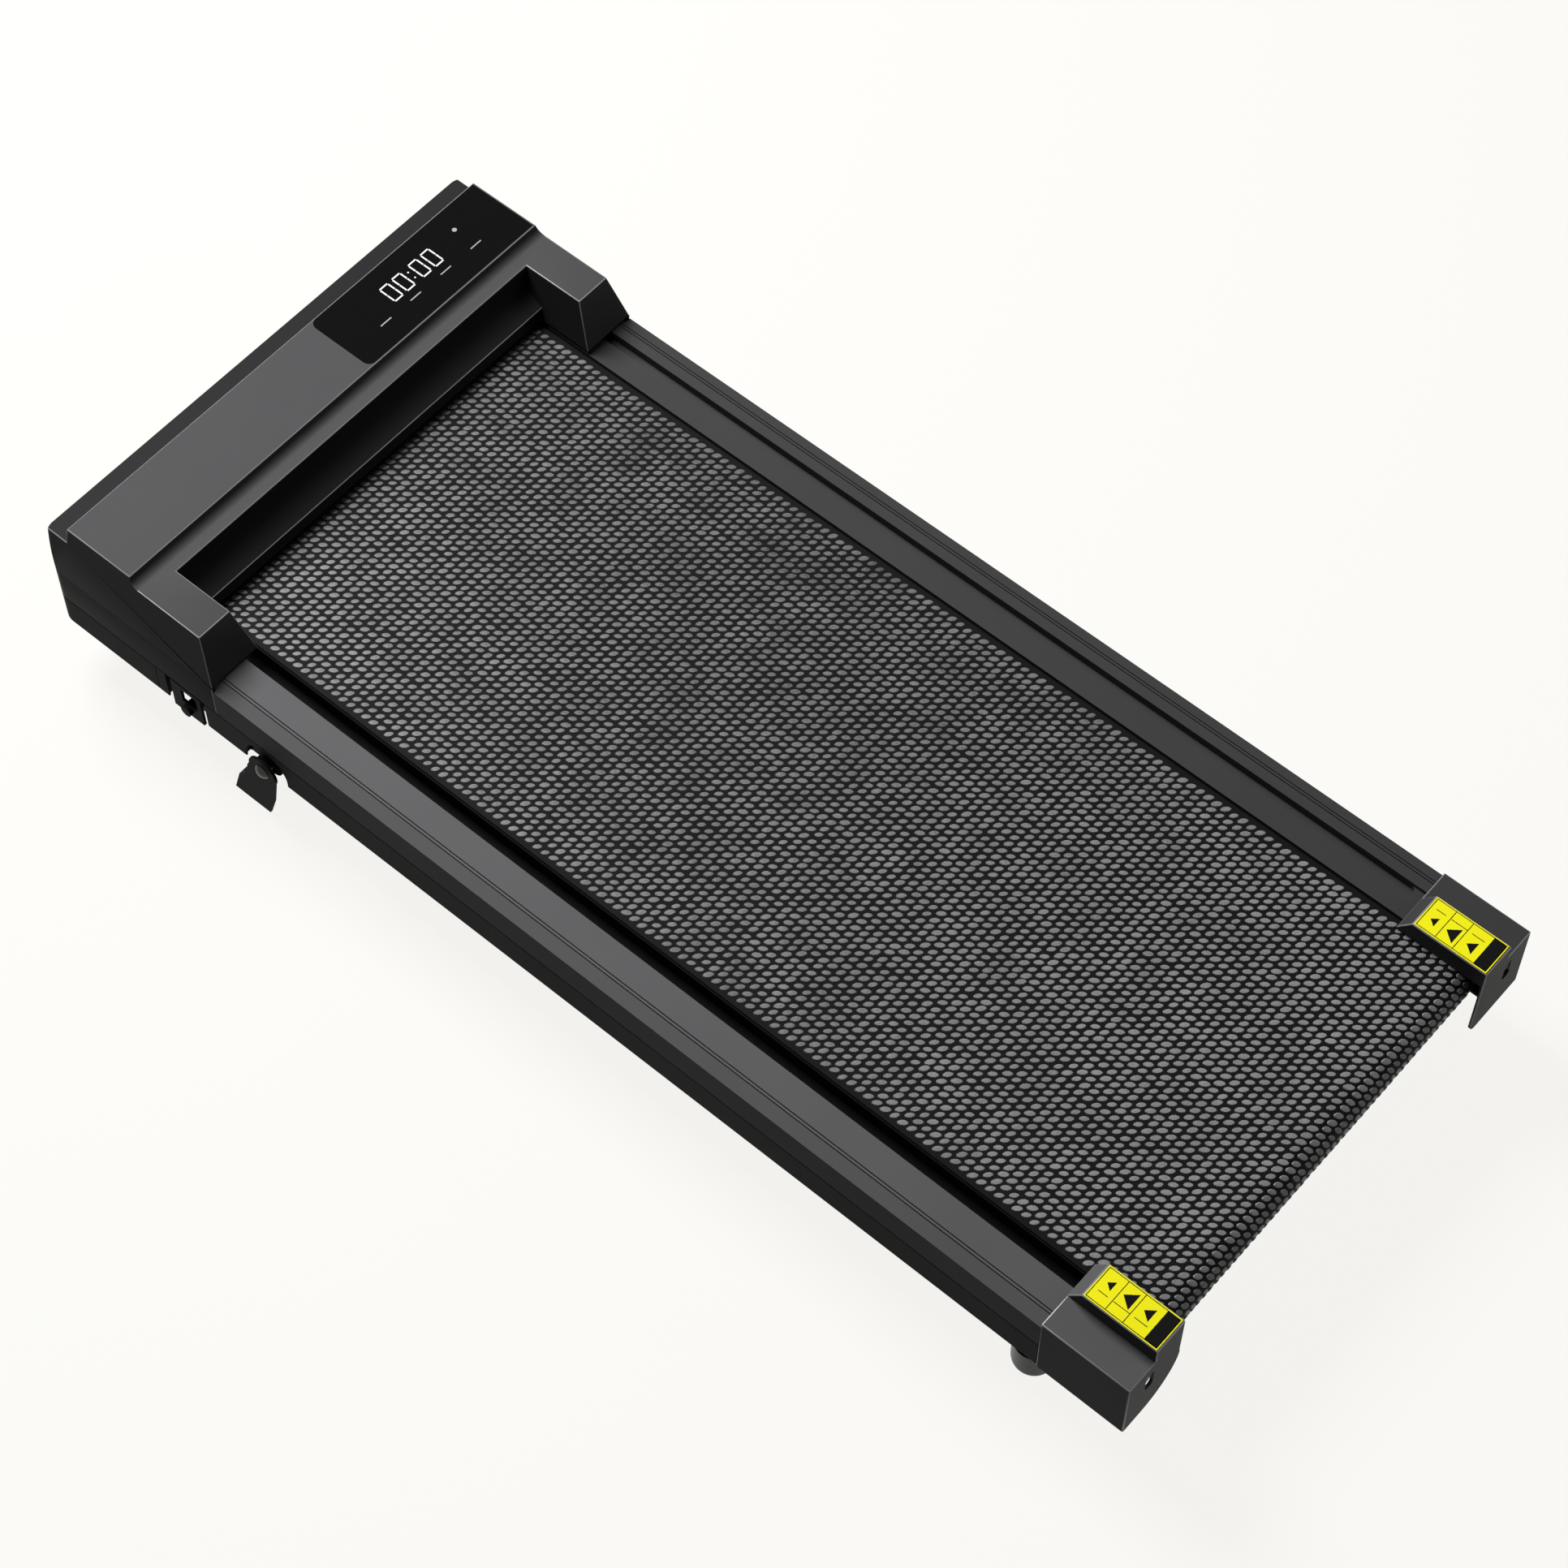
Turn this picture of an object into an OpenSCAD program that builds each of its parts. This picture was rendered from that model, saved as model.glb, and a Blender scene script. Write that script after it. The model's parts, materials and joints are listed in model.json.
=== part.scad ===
// Under-desk walking pad: a low treadmill with a flat hood over the motor.
// X runs across the belt, +Y points to the hood, Z is up, and the floor is z = 0.
// The left side is at -X. Units are millimetres.

/* [Overall] */
// Length from the rear plates to the front of the hood
body_l = 1250; // [1150:1:1500]
// Width over the side skirts
body_w = 560; // [520:1:640]
// Height of the side skirts' lower edge above the floor
ground_gap = 64; // [60:0.5:80]
// Height of the side skirts and rails, from lower edge to rail top
side_h = 78; // [74:0.5:95]
// Height of the hood's flat top above the rail top
hood_rise = 62; // [50:0.5:80]
// Height of the seam between upper and lower side trims, above the lower edge
seam_h = 37; // [34:0.5:42]
// Gap along the seam
seam_gap = 1; // [0.4:0.1:2]
// Wall of the plastic side trims
trim_t = 2; // [1.5:0.1:2]

/* [Running belt and deck] */
// Width of the running belt
belt_w = 436; // [380:1:490]
// Thickness of the running belt
belt_t = 2; // [1.4:0.1:2.4]
// Depth of the belt's face below the rail top
belt_drop = 3; // [2:0.1:6]
// Thickness of the running deck
deck_t = 15; // [10:0.5:15]
// How far the deck stands out past each belt edge
deck_over = 2; // [0:0.5:2.5]
// Clearance between the belt and what it runs over
belt_gap = 0.3; // [0.2:0.05:0.6]

/* [Rollers] */
// Radius of both rollers
roller_r = 21; // [18:0.5:21]
// Radius of both roller axles
axle_r = 7.5; // [5:0.5:8]
// Distance of the rear roller's centre from the rear plates
rear_roller_in = 35; // [32:0.5:60]
// Distance of the front roller's centre from the front of the hood
front_roller_in = 125; // [115:1:126]
// Wall of the roller tubes
roller_wall = 2.5; // [1.5:0.1:4]
// Width of each roller bearing
bearing_w = 12; // [8:0.5:16]
// Radial running clearance of rollers, wheels and shafts
run_gap = 0.05; // [0.02:0.01:0.08]

/* [Steel frame] */
// Plate thickness of the side beams
beam_t = 3; // [2:0.1:3.5]
// Width of the side beams' flanges
flange_w = 38; // [30:0.5:38]
// Height of the side beams
beam_h = 65; // [62:0.5:65]
// Width of each cross tube, along the belt
tube_w = 36; // [20:1:40]
// Height of each cross tube
tube_h = 16; // [10:0.5:16]
// Wall of each cross tube
tube_wall = 2; // [1.2:0.1:3]
// Number of cross tubes
tube_n = 5; // [3:1:7]
// Side of the square rubber cushions under the deck
cushion_w = 34; // [20:1:40]
// Height of the cushions
cushion_h = 8; // [5:0.5:8]

/* [Side rails] */
// Width of the left rail's flat top
left_rail_w = 43; // [40:0.5:50]
// Width of the sloped strip along each rail's outer edge
slope_w = 12; // [8:0.5:14]
// Drop of the sloped strip
slope_drop = 5; // [2:0.5:8]
// Width of each fine groove in the rails
groove_w = 0.9; // [0.5:0.1:1.5]
// Distance between the two fine grooves
groove_pitch = 3; // [2:0.1:5]
// Width of the right rail's flat inner strip
strip_w = 23.5; // [15:0.5:24]
// Depth of the inner strip below the rail top
strip_drop = 4; // [2:0.5:6]
// Width of the slot beside the inner strip
slot_w = 9; // [5:0.5:10]

/* [Rear end caps] */
// Length of the end caps
cap_l = 91; // [80:1:110]
// Width of the raised marker block on each cap
block_w = 37; // [30:0.5:40]
// Height of the marker block above the cap
block_h = 19; // [12:0.5:24]
// Distance of the marker block from the cap's outer face
block_in = 34; // [30:0.5:36]
// Thickness of the rear plates
plate_t = 3; // [2:0.1:4]
// Radius of the left rear plate's lower inner corner
left_corner_r = 45; // [20:1:50]
// Radius of the right rear plate's lower inner corner
right_corner_r = 9; // [4:1:50]
// Width of the adjusting slot in each rear plate
adjust_slot_w = 11; // [9:0.5:14]
// Height of the adjusting slot in each rear plate
adjust_slot_h = 27; // [20:0.5:32]

/* [Hood] */
// Wall of the hood
hood_t = 2.5; // [2:0.1:3]
// Length of the lower strip in front of the hood's flat top
lip_l = 27; // [20:0.5:35]
// Drop of the lower strip
lip_drop = 17; // [10:0.5:20]
// Length of the hood's flat top
deck_l = 80; // [70:0.5:90]
// Drop of the shelf behind the flat top
shelf_drop = 10; // [6:0.5:14]
// Length of the shelf behind the flat top
shelf_l = 11; // [6:0.5:16]
// Length of the arms at the top, behind the shelf
arm_l = 67; // [50:1:75]
// How far each arm's end leans out towards its foot
arm_lean = 17; // [8:0.5:24]
// Width of each arm at the top
arm_w = 36; // [32:0.5:40]
// How far each hood side leans inwards at the top
side_lean = 13; // [6:0.5:16]
// How far each arm widens inwards at its foot
arm_spread = 10; // [2:0.5:12]
// Radius of the recess wall's hollow curve
scoop_r = 38; // [30:0.5:45]
// Radius of the hood's front corners in plan
hood_corner_r = 18; // [8:0.5:24]

/* [Display] */
// Width of the glossy display cover
display_w = 222; // [180:1:224]
// Thickness of the glossy display cover
display_t = 1.5; // [1:0.1:1.6]
// Corner radius of the display cover
display_r = 8; // [2:0.5:14]
// Width of the circuit board under the display
board_w = 150; // [100:1:180]

/* [Motor] */
// Radius of the motor
motor_r = 34; // [25:0.5:36]
// Length of the motor
motor_l = 140; // [100:1:170]
// Radius of the motor shaft
shaft_r = 5; // [4:0.5:7]
// Radius of the motor's belt pulley
motor_pulley_r = 12; // [9:0.5:16]
// Radius of the front roller's belt pulley
roller_pulley_r = 24; // [18:0.5:24]
// Width of both belt pulleys
pulley_w = 11; // [8:0.5:11]
// Distance of the motor shaft from the front of the hood
motor_in = 53; // [48:0.5:58]
// Gap between the motor and its drive pulley
motor_gap = 34; // [25:1:60]
// Length of the motor plate, along the belt
motor_plate_l = 72; // [60:1:74]
// Width of the control board beside the motor
controller_w = 150; // [120:1:170]
// Length of the control board, along the belt
controller_l = 60; // [50:1:64]
// Height of the heat sink and the tall parts on the control board
controller_h = 26; // [20:0.5:40]

/* [Transport wheels] */
// Radius of each transport wheel
wheel_r = 29; // [24:0.5:29]
// Width of each transport wheel
wheel_w = 22; // [14:0.5:22]
// Radius of each wheel's axle
wheel_axle_r = 6; // [4:0.5:8]
// Distance of the wheels' centre from the front of the hood
wheel_in = 170; // [168:0.5:176]
// Height of the wheels' centre above the skirts' lower edge
wheel_up = 3; // [2:0.5:4]

/* [Incline feet] */
// Distance of the feet's pivot from the front of the hood
foot_in = 270; // [262:1:300]
// Height of the pivot above the skirts' lower edge
foot_up = 6; // [4:0.5:8]
// Radius of each pivot pin
pin_r = 5; // [4:0.25:7]
// Radius of each foot plate round its pivot
foot_hub_r = 17; // [13:0.5:18]
// Thickness of the feet's sheet plates
foot_t = 3; // [2:0.1:3.5]
// How far each foot's toe lies ahead of its pivot
foot_toe = 45; // [36:0.5:50]
// Radius of the arch over each foot in the skirt
arch_r = 26; // [22:0.5:28]

/* [Rear feet] */
// Radius of each rear foot
rear_foot_r = 20; // [15:0.5:22]
// Distance of the rear feet from the rear plates
rear_foot_in = 110; // [100:1:125]
// Size of each small block behind the rear feet, along the belt
skid_l = 30; // [20:1:34]
// Width of these small blocks
skid_w = 26; // [15:0.5:30]
// How far these small blocks reach below the skirts
skid_drop = 24; // [10:0.5:40]

/* [Power inlet and switch] */
// Width of the mains inlet
inlet_w = 28; // [24:0.5:34]
// Width of the rocker switch
switch_w = 22; // [18:0.5:26]

/* [Hidden] */
$fn = 64;
eps = 0.02;
// Gap between separate pieces that lie side by side
fit = 0.3;

rear_y = -body_l / 2;
front_y = body_l / 2;
half_w = body_w / 2;
skirt_z = ground_gap;
seam_z = skirt_z + seam_h;
rail_z = skirt_z + side_h;
top_z = rail_z + hood_rise;
shelf_z = top_z - shelf_drop;
lip_z = top_z - lip_drop;

belt_z = rail_z - belt_drop;
belt_out_r = roller_r + belt_gap + belt_t;
belt_in_r = roller_r + belt_gap;
roller_z = belt_z - belt_out_r;
rear_roller_y = rear_y + rear_roller_in;
front_roller_y = front_y - front_roller_in;
roller_half = belt_w / 2 + 3;
deck_half = belt_w / 2 + deck_over;
deck_top = belt_z - belt_t - belt_gap;
deck_rear = rear_roller_y + roller_r + 19;
deck_front = front_roller_y - roller_r - 14;

web_out = half_w - trim_t - fit;
web_in = web_out - beam_t;
beam_bottom = skirt_z + 2;
beam_top = beam_bottom + beam_h;
beam_rear = rear_y + 7;
beam_front = front_y - 25;
// The flanges stay clear of the drive pulley
flange_in = max(web_out - flange_w, roller_half + 3 + pulley_w + 0.5);
tube_top = deck_top - deck_t - cushion_h;
tube_first = deck_rear + 30;
tube_last = deck_front - 65;
tube_pitch = (tube_last - tube_first) / (tube_n - 1);

cap_front = rear_y + cap_l;
rail_rear = cap_front;
arm_top_y = front_y - lip_l - deck_l - shelf_drop - shelf_l - arm_l;
arm_foot_y = arm_top_y - arm_lean;
rail_front = arm_foot_y - 0.5;
rail_t = 3;
// The rails' tongues reach under the hood to here
tongue_end = front_roller_y - belt_out_r - 12;
strip_gap = 1.5;
rim_flat = 10;
// Below 1 where deck and skirts are too close for the rails' full widths
side_fit = min(1, (half_w - deck_half) / (strip_gap + strip_w + slot_w + rim_flat + slope_w));
left_rail_in = half_w - side_fit * left_rail_w;
strip_in = deck_half + strip_gap;
slot_in = strip_in + side_fit * strip_w;
rim_in = slot_in + side_fit * slot_w;
slope_in = half_w - side_fit * slope_w;

deck_front_y = front_y - lip_l;
deck_rear_y = deck_front_y - deck_l;
shelf_rear_y = deck_rear_y - shelf_drop - shelf_l;
top_half = half_w - side_lean;
arm_in_top = top_half - arm_w;
arm_in_foot = arm_in_top - arm_spread;

wheel_y = front_y - wheel_in;
wheel_z = skirt_z + wheel_up;
wheel_out_x = web_in - 12.7;
// The wheels stay outside the belt's edges
wheel_in_x = max(wheel_out_x - wheel_w, belt_w / 2 + 4);
foot_y = front_y - foot_in;
foot_z = skirt_z + foot_up;
foot_out_x = half_w + 3;
foot_in_x = half_w - 34;
motor_y = front_y - motor_in;
motor_plate_z = beam_bottom + beam_t;
motor_z = motor_plate_z + beam_t + motor_r + 1.5;
pulley_x = -roller_half - 3 - pulley_w;
motor_x = pulley_x + pulley_w + motor_gap;
motor_plate_y = front_y - 27 - motor_plate_l;
bed_z = motor_plate_z + beam_t;
controller_x = motor_x + motor_l + 90;
controller_y = motor_plate_y + (motor_plate_l - controller_l) / 2;
controller_z = bed_z + 8;
board_t = 1.6;
skirt_front = wheel_y + 37;
window_half = 25;
pan_rear = skirt_front + 0.5;
// Farthest point of a foot from its pivot
foot_reach = norm([foot_toe, foot_z]);
adjuster_x = half_w - 29;
adjuster_r = 3;
inlet_x = half_w - 90;
switch_x = inlet_x - 50;
inlet_z = seam_z + 28;
panel_t = 1.5;
inlet_h = 24;
inlet_rim = 4;
switch_h = 18;
switch_rim = 2;
rocker_r = 1.5;
rocker_y = front_y - 6;

// Shapes for one side are drawn at +X and mirrored for the left side
module on_side(side) {
    if (side < 0) mirror([1, 0, 0]) children();
    else children();
}

// A bar along X between two places, with its outline in the YZ plane
module bar_x(x0, x1) {
    translate([x0, 0, 0]) rotate([90, 0, 90]) linear_extrude(x1 - x0) children();
}

// A bar along Y between two places, with its outline in the XZ plane
module bar_y(y0, y1) {
    translate([0, y1, 0]) rotate([90, 0, 0]) linear_extrude(y1 - y0) children();
}

// A round bar along X
module rod_x(x0, x1, y, z, r) {
    translate([x0, y, z]) rotate([0, 90, 0]) cylinder(h = x1 - x0, r = r);
}

module box(x0, x1, y0, y1, z0, z1) {
    translate([x0, y0, z0]) cube([x1 - x0, y1 - y0, z1 - z0]);
}

module rect(x0, x1, y0, y1) {
    translate([x0, y0]) square([x1 - x0, y1 - y0]);
}

// Outline of a belt's loop over both rollers
module belt_outline(r) {
    translate([rear_roller_y, roller_z]) circle(r);
    translate([front_roller_y, roller_z]) circle(r);
    rect(rear_roller_y, front_roller_y, roller_z - r, roller_z + r);
}

module running_belt() {
    color([0.05, 0.05, 0.05]) bar_x(-belt_w / 2, belt_w / 2) difference() {
        belt_outline(belt_out_r);
        belt_outline(belt_in_r);
    }
}

module running_deck() {
    color([0.12, 0.12, 0.12])
        box(-deck_half, deck_half, deck_rear, deck_front, deck_top - deck_t, deck_top);
}

function tube_y(i) = tube_first + (i - 1) * tube_pitch;

module deck_cushions() {
    cushion_x = deck_half - cushion_w;
    color([0.1, 0.1, 0.1]) for (i = [1:tube_n], s = [-1, 1])
        translate([s * cushion_x, tube_y(i), (tube_top + deck_top - deck_t) / 2])
            cube([cushion_w, cushion_w, deck_top - deck_t - tube_top], center = true);
}

module cross_tube(i) {
    color([0.16, 0.16, 0.17]) bar_x(-web_in, web_in) difference() {
        translate([tube_y(i), tube_top - tube_h / 2]) square([tube_w, tube_h], center = true);
        translate([tube_y(i), tube_top - tube_h / 2])
            square([tube_w - 2 * tube_wall, tube_h - 2 * tube_wall], center = true);
    }
}

// The steel side beam: a C-section with cut-outs over the wheel and the foot
module side_beam(side) {
    color([0.14, 0.14, 0.15]) on_side(side) difference() {
        bar_y(beam_rear, beam_front) union() {
            rect(web_in, web_out, beam_bottom, beam_top);
            rect(flange_in, web_out, beam_top - beam_t, beam_top);
            rect(flange_in, web_out, beam_bottom, beam_bottom + beam_t);
        }
        wheel_window(1);
        wheel_notch();
        foot_arch(1);
        foot_notch();
        rod_x(web_in - 1, web_out + 1, rear_roller_y, roller_z, axle_r + 0.05);
        rod_x(web_in - 1, web_out + 1, front_roller_y, roller_z, axle_r + 0.05);
    }
}

// Window in skirt and beam outside the transport wheel
module wheel_window(grow) {
    box(web_in - 1, half_w + 1, wheel_y - window_half - grow, wheel_y + window_half + grow,
        skirt_z - 5, seam_z - seam_gap / 2);
}

// Notch in the lower flange that the wheel turns in
module wheel_notch() {
    box(flange_in - 1, web_in, wheel_y - wheel_r - 5, wheel_y + wheel_r + 5,
        skirt_z - 5, beam_bottom + beam_t + 1);
}

// Arch in skirt and beam round the foot's pivot
module foot_arch(grow) {
    rod_x(web_in - 1, half_w + 1, foot_y, foot_z, arch_r + grow);
    box(web_in - 1, half_w + 1, foot_y - arch_r - grow, foot_y + arch_r + grow,
        skirt_z - 5, foot_z);
}

// Notch in the lower flange that the foot swings through
module foot_notch() {
    box(flange_in - 1, web_in, foot_y - foot_reach - 8, foot_y + foot_hub_r + 8,
        skirt_z - 5, beam_bottom + beam_t + 1);
}

// Outline of a rail's outer part: flat top, two fine grooves, sloped strip and outer wall
module rail_outline(x_in) {
    difference() {
        polygon([
            [x_in, rail_z - rail_t], [x_in, rail_z], [slope_in, rail_z],
            [half_w, rail_z - slope_drop], [half_w, seam_z + seam_gap / 2],
            [half_w - trim_t, seam_z + seam_gap / 2], [half_w - trim_t, rail_z - slope_drop - 2],
            [slope_in, rail_z - rail_t]
        ]);
        for (k = [0, 1])
            rect(slope_in - k * groove_pitch - groove_w, slope_in - k * groove_pitch,
                 rail_z - 0.8, rail_z + 1);
    }
}

module left_foot_rail() {
    color([0.36, 0.36, 0.37]) mirror([1, 0, 0]) {
        bar_y(rail_rear, rail_front) union() {
            rail_outline(left_rail_in);
            rect(left_rail_in, left_rail_in + trim_t, beam_top, rail_z - rail_t);
        }
        box(left_rail_in, web_out - 1, rail_front, tongue_end, rail_z - rail_t - 1, rail_z - 1);
    }
}

module right_foot_rail() {
    strip_z = rail_z - strip_drop;
    slot_half = (rim_in - slot_in) / 2;
    slot_end = rail_rear + 2 * slot_half + 6;
    color([0.28, 0.28, 0.29]) {
        bar_y(rail_rear, rail_front) union() {
            rail_outline(rim_in);
            rect(rim_in, rim_in + trim_t, beam_top, rail_z - rail_t);
            rect(strip_in, slot_in, strip_z - rail_t, strip_z);
            rect(slot_in - trim_t, slot_in, beam_top, strip_z - rail_t);
            rect(slot_in - trim_t, rim_in + trim_t, beam_top, beam_top + 1);
        }
        difference() {
            box(slot_in, rim_in, rail_rear, slot_end, beam_top, strip_z);
            translate([slot_in + slot_half, slot_end, beam_top + 1])
                cylinder(h = side_h, r = slot_half);
        }
        box(strip_in, slot_in, rail_front, tongue_end, strip_z - rail_t, strip_z);
    }
}

module lower_skirt(side) {
    color([0.11, 0.12, 0.12]) on_side(side) difference() {
        box(half_w - trim_t, half_w, cap_front, skirt_front, skirt_z, seam_z - seam_gap / 2);
        wheel_window(0);
        foot_arch(0);
    }
}

// Rear end cap: side wall, top, raised block with a sloped front, and slotted rear plate
module end_cap(side, corner_r) {
    x_in = half_w - block_in - block_w;
    cap_top = rail_z + 1;
    slope = block_h * 0.7;
    plate_bottom = skirt_z - 3;
    color([0.2, 0.2, 0.21]) on_side(side) {
        box(half_w - trim_t, half_w, rear_y + plate_t, cap_front, plate_bottom, cap_top - rail_t);
        box(x_in, half_w, rear_y + plate_t, cap_front, cap_top - rail_t, cap_top);
        bar_x(x_in, x_in + block_w) polygon([
            [cap_front, cap_top], [cap_front - slope, cap_top + block_h],
            [rear_y + plate_t, cap_top + block_h], [rear_y + plate_t, cap_top]
        ]);
        bar_y(rear_y, rear_y + plate_t) difference() {
            union() {
                rect(x_in, x_in + block_w, cap_top - rail_t, cap_top + block_h);
                rect(x_in, half_w, plate_bottom + corner_r, cap_top);
                rect(x_in + corner_r, half_w, plate_bottom, cap_top);
                intersection() {
                    translate([x_in + corner_r, plate_bottom + corner_r]) circle(corner_r);
                    rect(x_in, x_in + corner_r, plate_bottom, plate_bottom + corner_r);
                }
            }
            hull() for (k = [-1, 1])
                translate([adjuster_x, roller_z + k * (adjust_slot_h - adjust_slot_w) / 2])
                    circle(adjust_slot_w / 2);
        }
    }
}

// Thin marker strip on top of each block
module marker_strip(side) {
    x_in = half_w - block_in - block_w;
    block_top = rail_z + 1 + block_h;
    color([0.92, 0.9, 0.12]) on_side(side)
        box(x_in + 1, x_in + block_w - 1, rear_y + 2, cap_front - block_h * 0.7 - 1,
            block_top, block_top + 0.3);
}

// Side view of the hood, drawn in YZ, with every face moved in by d
module hood_side(d) {
    cove = shelf_drop + d;
    polygon(concat(
        [[arm_foot_y + d, rail_z], [arm_top_y + d, shelf_z - d]],
        [for (a = [0:15:90]) [deck_rear_y - shelf_drop + cove * sin(a),
                              top_z - cove * cos(a)]],
        [[deck_rear_y + d, top_z - d], [deck_front_y - d, top_z - d],
         [deck_front_y + 1 - d, lip_z - d], [front_y - d, lip_z - d],
         [front_y - d, seam_z - 20], [arm_foot_y + d, seam_z - 20]]
    ));
}

// Front view of the hood, drawn in XZ, with the sides moved in by d
module hood_front(d) {
    polygon([
        [-half_w + d, seam_z - 20], [-half_w + d, rail_z - 2], [-top_half + d, top_z],
        [top_half - d, top_z], [half_w - d, rail_z - 2], [half_w - d, seam_z - 20]
    ]);
}

// Plan of the hood, with the outer edge moved in by d
module hood_plan(d) {
    r = hood_corner_r - d;
    rect(-half_w + d, half_w - d, arm_foot_y - 1, front_y - d - r);
    rect(-half_w + d + r, half_w - d - r, arm_foot_y - 1, front_y - d);
    for (s = [-1, 1]) translate([s * (half_w - d - r), front_y - d - r]) circle(r);
}

module hood_block(d) {
    intersection() {
        bar_x(-half_w, half_w) hood_side(d);
        bar_y(arm_foot_y, front_y) hood_front(d);
        translate([0, 0, seam_z - 20]) linear_extrude(top_z) hood_plan(d);
    }
}

// The recess that the belt runs out of: flat flanks and a hollow wall, grown by d
module recess(d) {
    scoop_y = shelf_rear_y - scoop_r;
    scoop_z = shelf_z - 2;
    reach = scoop_r + d;
    tail = 68;
    intersection() {
        bar_x(-half_w, half_w) polygon(concat(
            [[arm_foot_y - 5, rail_z - 40], [arm_foot_y - 5, top_z + 5],
             [scoop_y + reach, top_z + 5]],
            [for (a = [0:8.5:tail]) [scoop_y + reach * cos(a), scoop_z - reach * sin(a)]],
            [[scoop_y + reach * cos(tail) - 2, rail_z - 40]]
        ));
        bar_y(arm_foot_y - 5, front_y) polygon([
            [-arm_in_foot - d, rail_z - 40], [-arm_in_foot - d, rail_z],
            [-arm_in_top - d, shelf_z], [-arm_in_top - d, top_z + 5],
            [arm_in_top + d, top_z + 5], [arm_in_top + d, shelf_z],
            [arm_in_foot + d, rail_z], [arm_in_foot + d, rail_z - 40]
        ]);
    }
}

module hood_cover() {
    color([0.33, 0.33, 0.34]) difference() {
        hood_block(0);
        recess(0);
        difference() {
            hood_block(hood_t);
            recess(hood_t);
        }
        // the bottom is open above the seam, and above the belt between the sides
        box(-half_w - 1, half_w + 1, arm_foot_y - 1, front_y + 1, seam_z - 30,
            seam_z + seam_gap / 2);
        intersection() {
            box(-half_w + trim_t, half_w - trim_t, arm_foot_y - 1, front_y - hood_t, seam_z - 30,
                rail_z + 0.5);
            translate([0, 0, seam_z - 31]) linear_extrude(top_z) hood_plan(trim_t);
        }
        display_pocket(0.2, display_t);
        panel_hole(inlet_x, inlet_w, inlet_h, inlet_rim);
        panel_hole(switch_x, switch_w, switch_h, switch_rim);
    }
}

// Room for the display cover, grown by d
module display_pocket(d, depth) {
    x1 = top_half - 2;
    x0 = x1 - display_w;
    y0 = deck_rear_y + 1.5;
    y1 = deck_front_y - 1.5;
    r = display_r;
    translate([0, 0, top_z - depth]) linear_extrude(depth + 1) {
        rect(x0 + r, x1 + d, y0 - d, y1 + d);
        rect(x0 - d, x1, y0 + r, y1 - r);
        for (y = [y0 + r, y1 - r]) translate([x0 + r, y]) circle(r + d);
    }
}

module display_lens() {
    color([0.02, 0.02, 0.02]) intersection() {
        display_pocket(0, display_t);
        box(-half_w, half_w, rear_y, front_y, top_z - display_t, top_z);
    }
}

module display_board() {
    board_x = top_half - 2 - display_w / 2;
    board_y = (deck_rear_y + deck_front_y) / 2;
    under = top_z - hood_t;
    color([0.05, 0.25, 0.1]) {
        translate([board_x, board_y, under - 8]) cube([board_w, 50, board_t], center = true);
        for (sx = [-1, 1], sy = [-1, 1])
            translate([board_x + sx * (board_w / 2 - 6), board_y + sy * 19, under - 7.2])
                cylinder(h = 7.2, r = 3);
    }
}

// Lower front tray under the hood, with a deeper middle
module base_pan() {
    top = seam_z - seam_gap / 2;
    belly_half = flange_in + 4;
    color([0.09, 0.09, 0.1]) difference() {
        union() {
            translate([0, 0, skirt_z]) linear_extrude(top - skirt_z) pan_plan(0);
            box(-belly_half, belly_half, pan_rear + 8, front_y - hood_corner_r, skirt_z - 4, skirt_z);
        }
        translate([0, 0, beam_bottom - fit]) linear_extrude(top) pan_plan(trim_t);
        box(-belly_half + 2, belly_half - 2, pan_rear + 10, front_y - hood_corner_r - 2,
            skirt_z - 2, top);
        box(-half_w + trim_t, half_w - trim_t, pan_rear - 1, pan_rear + 4, beam_bottom - fit, top + 1);
    }
}

module pan_plan(d) {
    r = hood_corner_r - d;
    rect(-half_w + d, half_w - d, pan_rear + d, front_y - d - r);
    rect(-half_w + d + r, half_w - d - r, pan_rear + d, front_y - d);
    for (s = [-1, 1]) translate([s * (half_w - d - r), front_y - d - r]) circle(r);
}

// Steel plate that carries the motor, laid across both side beams
module motor_plate() {
    color([0.3, 0.3, 0.32])
        box(-web_in + 1, web_in - 1, motor_plate_y, motor_plate_y + motor_plate_l,
            motor_plate_z, bed_z);
}

module motor_can() {
    end_w = 8;
    color([0.18, 0.18, 0.2]) difference() {
        union() {
            rod_x(motor_x + end_w, motor_x + motor_l - end_w, motor_y, motor_z, motor_r);
            rod_x(motor_x, motor_x + end_w, motor_y, motor_z, motor_r - 4);
            rod_x(motor_x + motor_l - end_w, motor_x + motor_l, motor_y, motor_z, motor_r - 4);
        }
        rod_x(motor_x - 1, motor_x + motor_l + 1, motor_y, motor_z, shaft_r + run_gap);
    }
}

// Two cradles between the plate and the motor
module motor_saddle() {
    saddle_w = 14;
    color([0.5, 0.5, 0.52]) for (x = [motor_x + 22, motor_x + motor_l - 22 - saddle_w])
        difference() {
            box(x, x + saddle_w, motor_y - 0.7 * motor_r, motor_y + 0.7 * motor_r, bed_z, bed_z + 14);
            rod_x(x - 1, x + saddle_w + 1, motor_y, motor_z, motor_r + 0.05);
        }
}

module motor_shaft() {
    color([0.75, 0.75, 0.77]) difference() {
        rod_x(pulley_x - 4, motor_x + motor_l + 26, motor_y, motor_z, shaft_r);
        box(pulley_x - 5, pulley_x + pulley_w + 2, motor_y - shaft_r, motor_y + shaft_r,
            motor_z + shaft_r - 1, motor_z + shaft_r + 1);
    }
}

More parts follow.
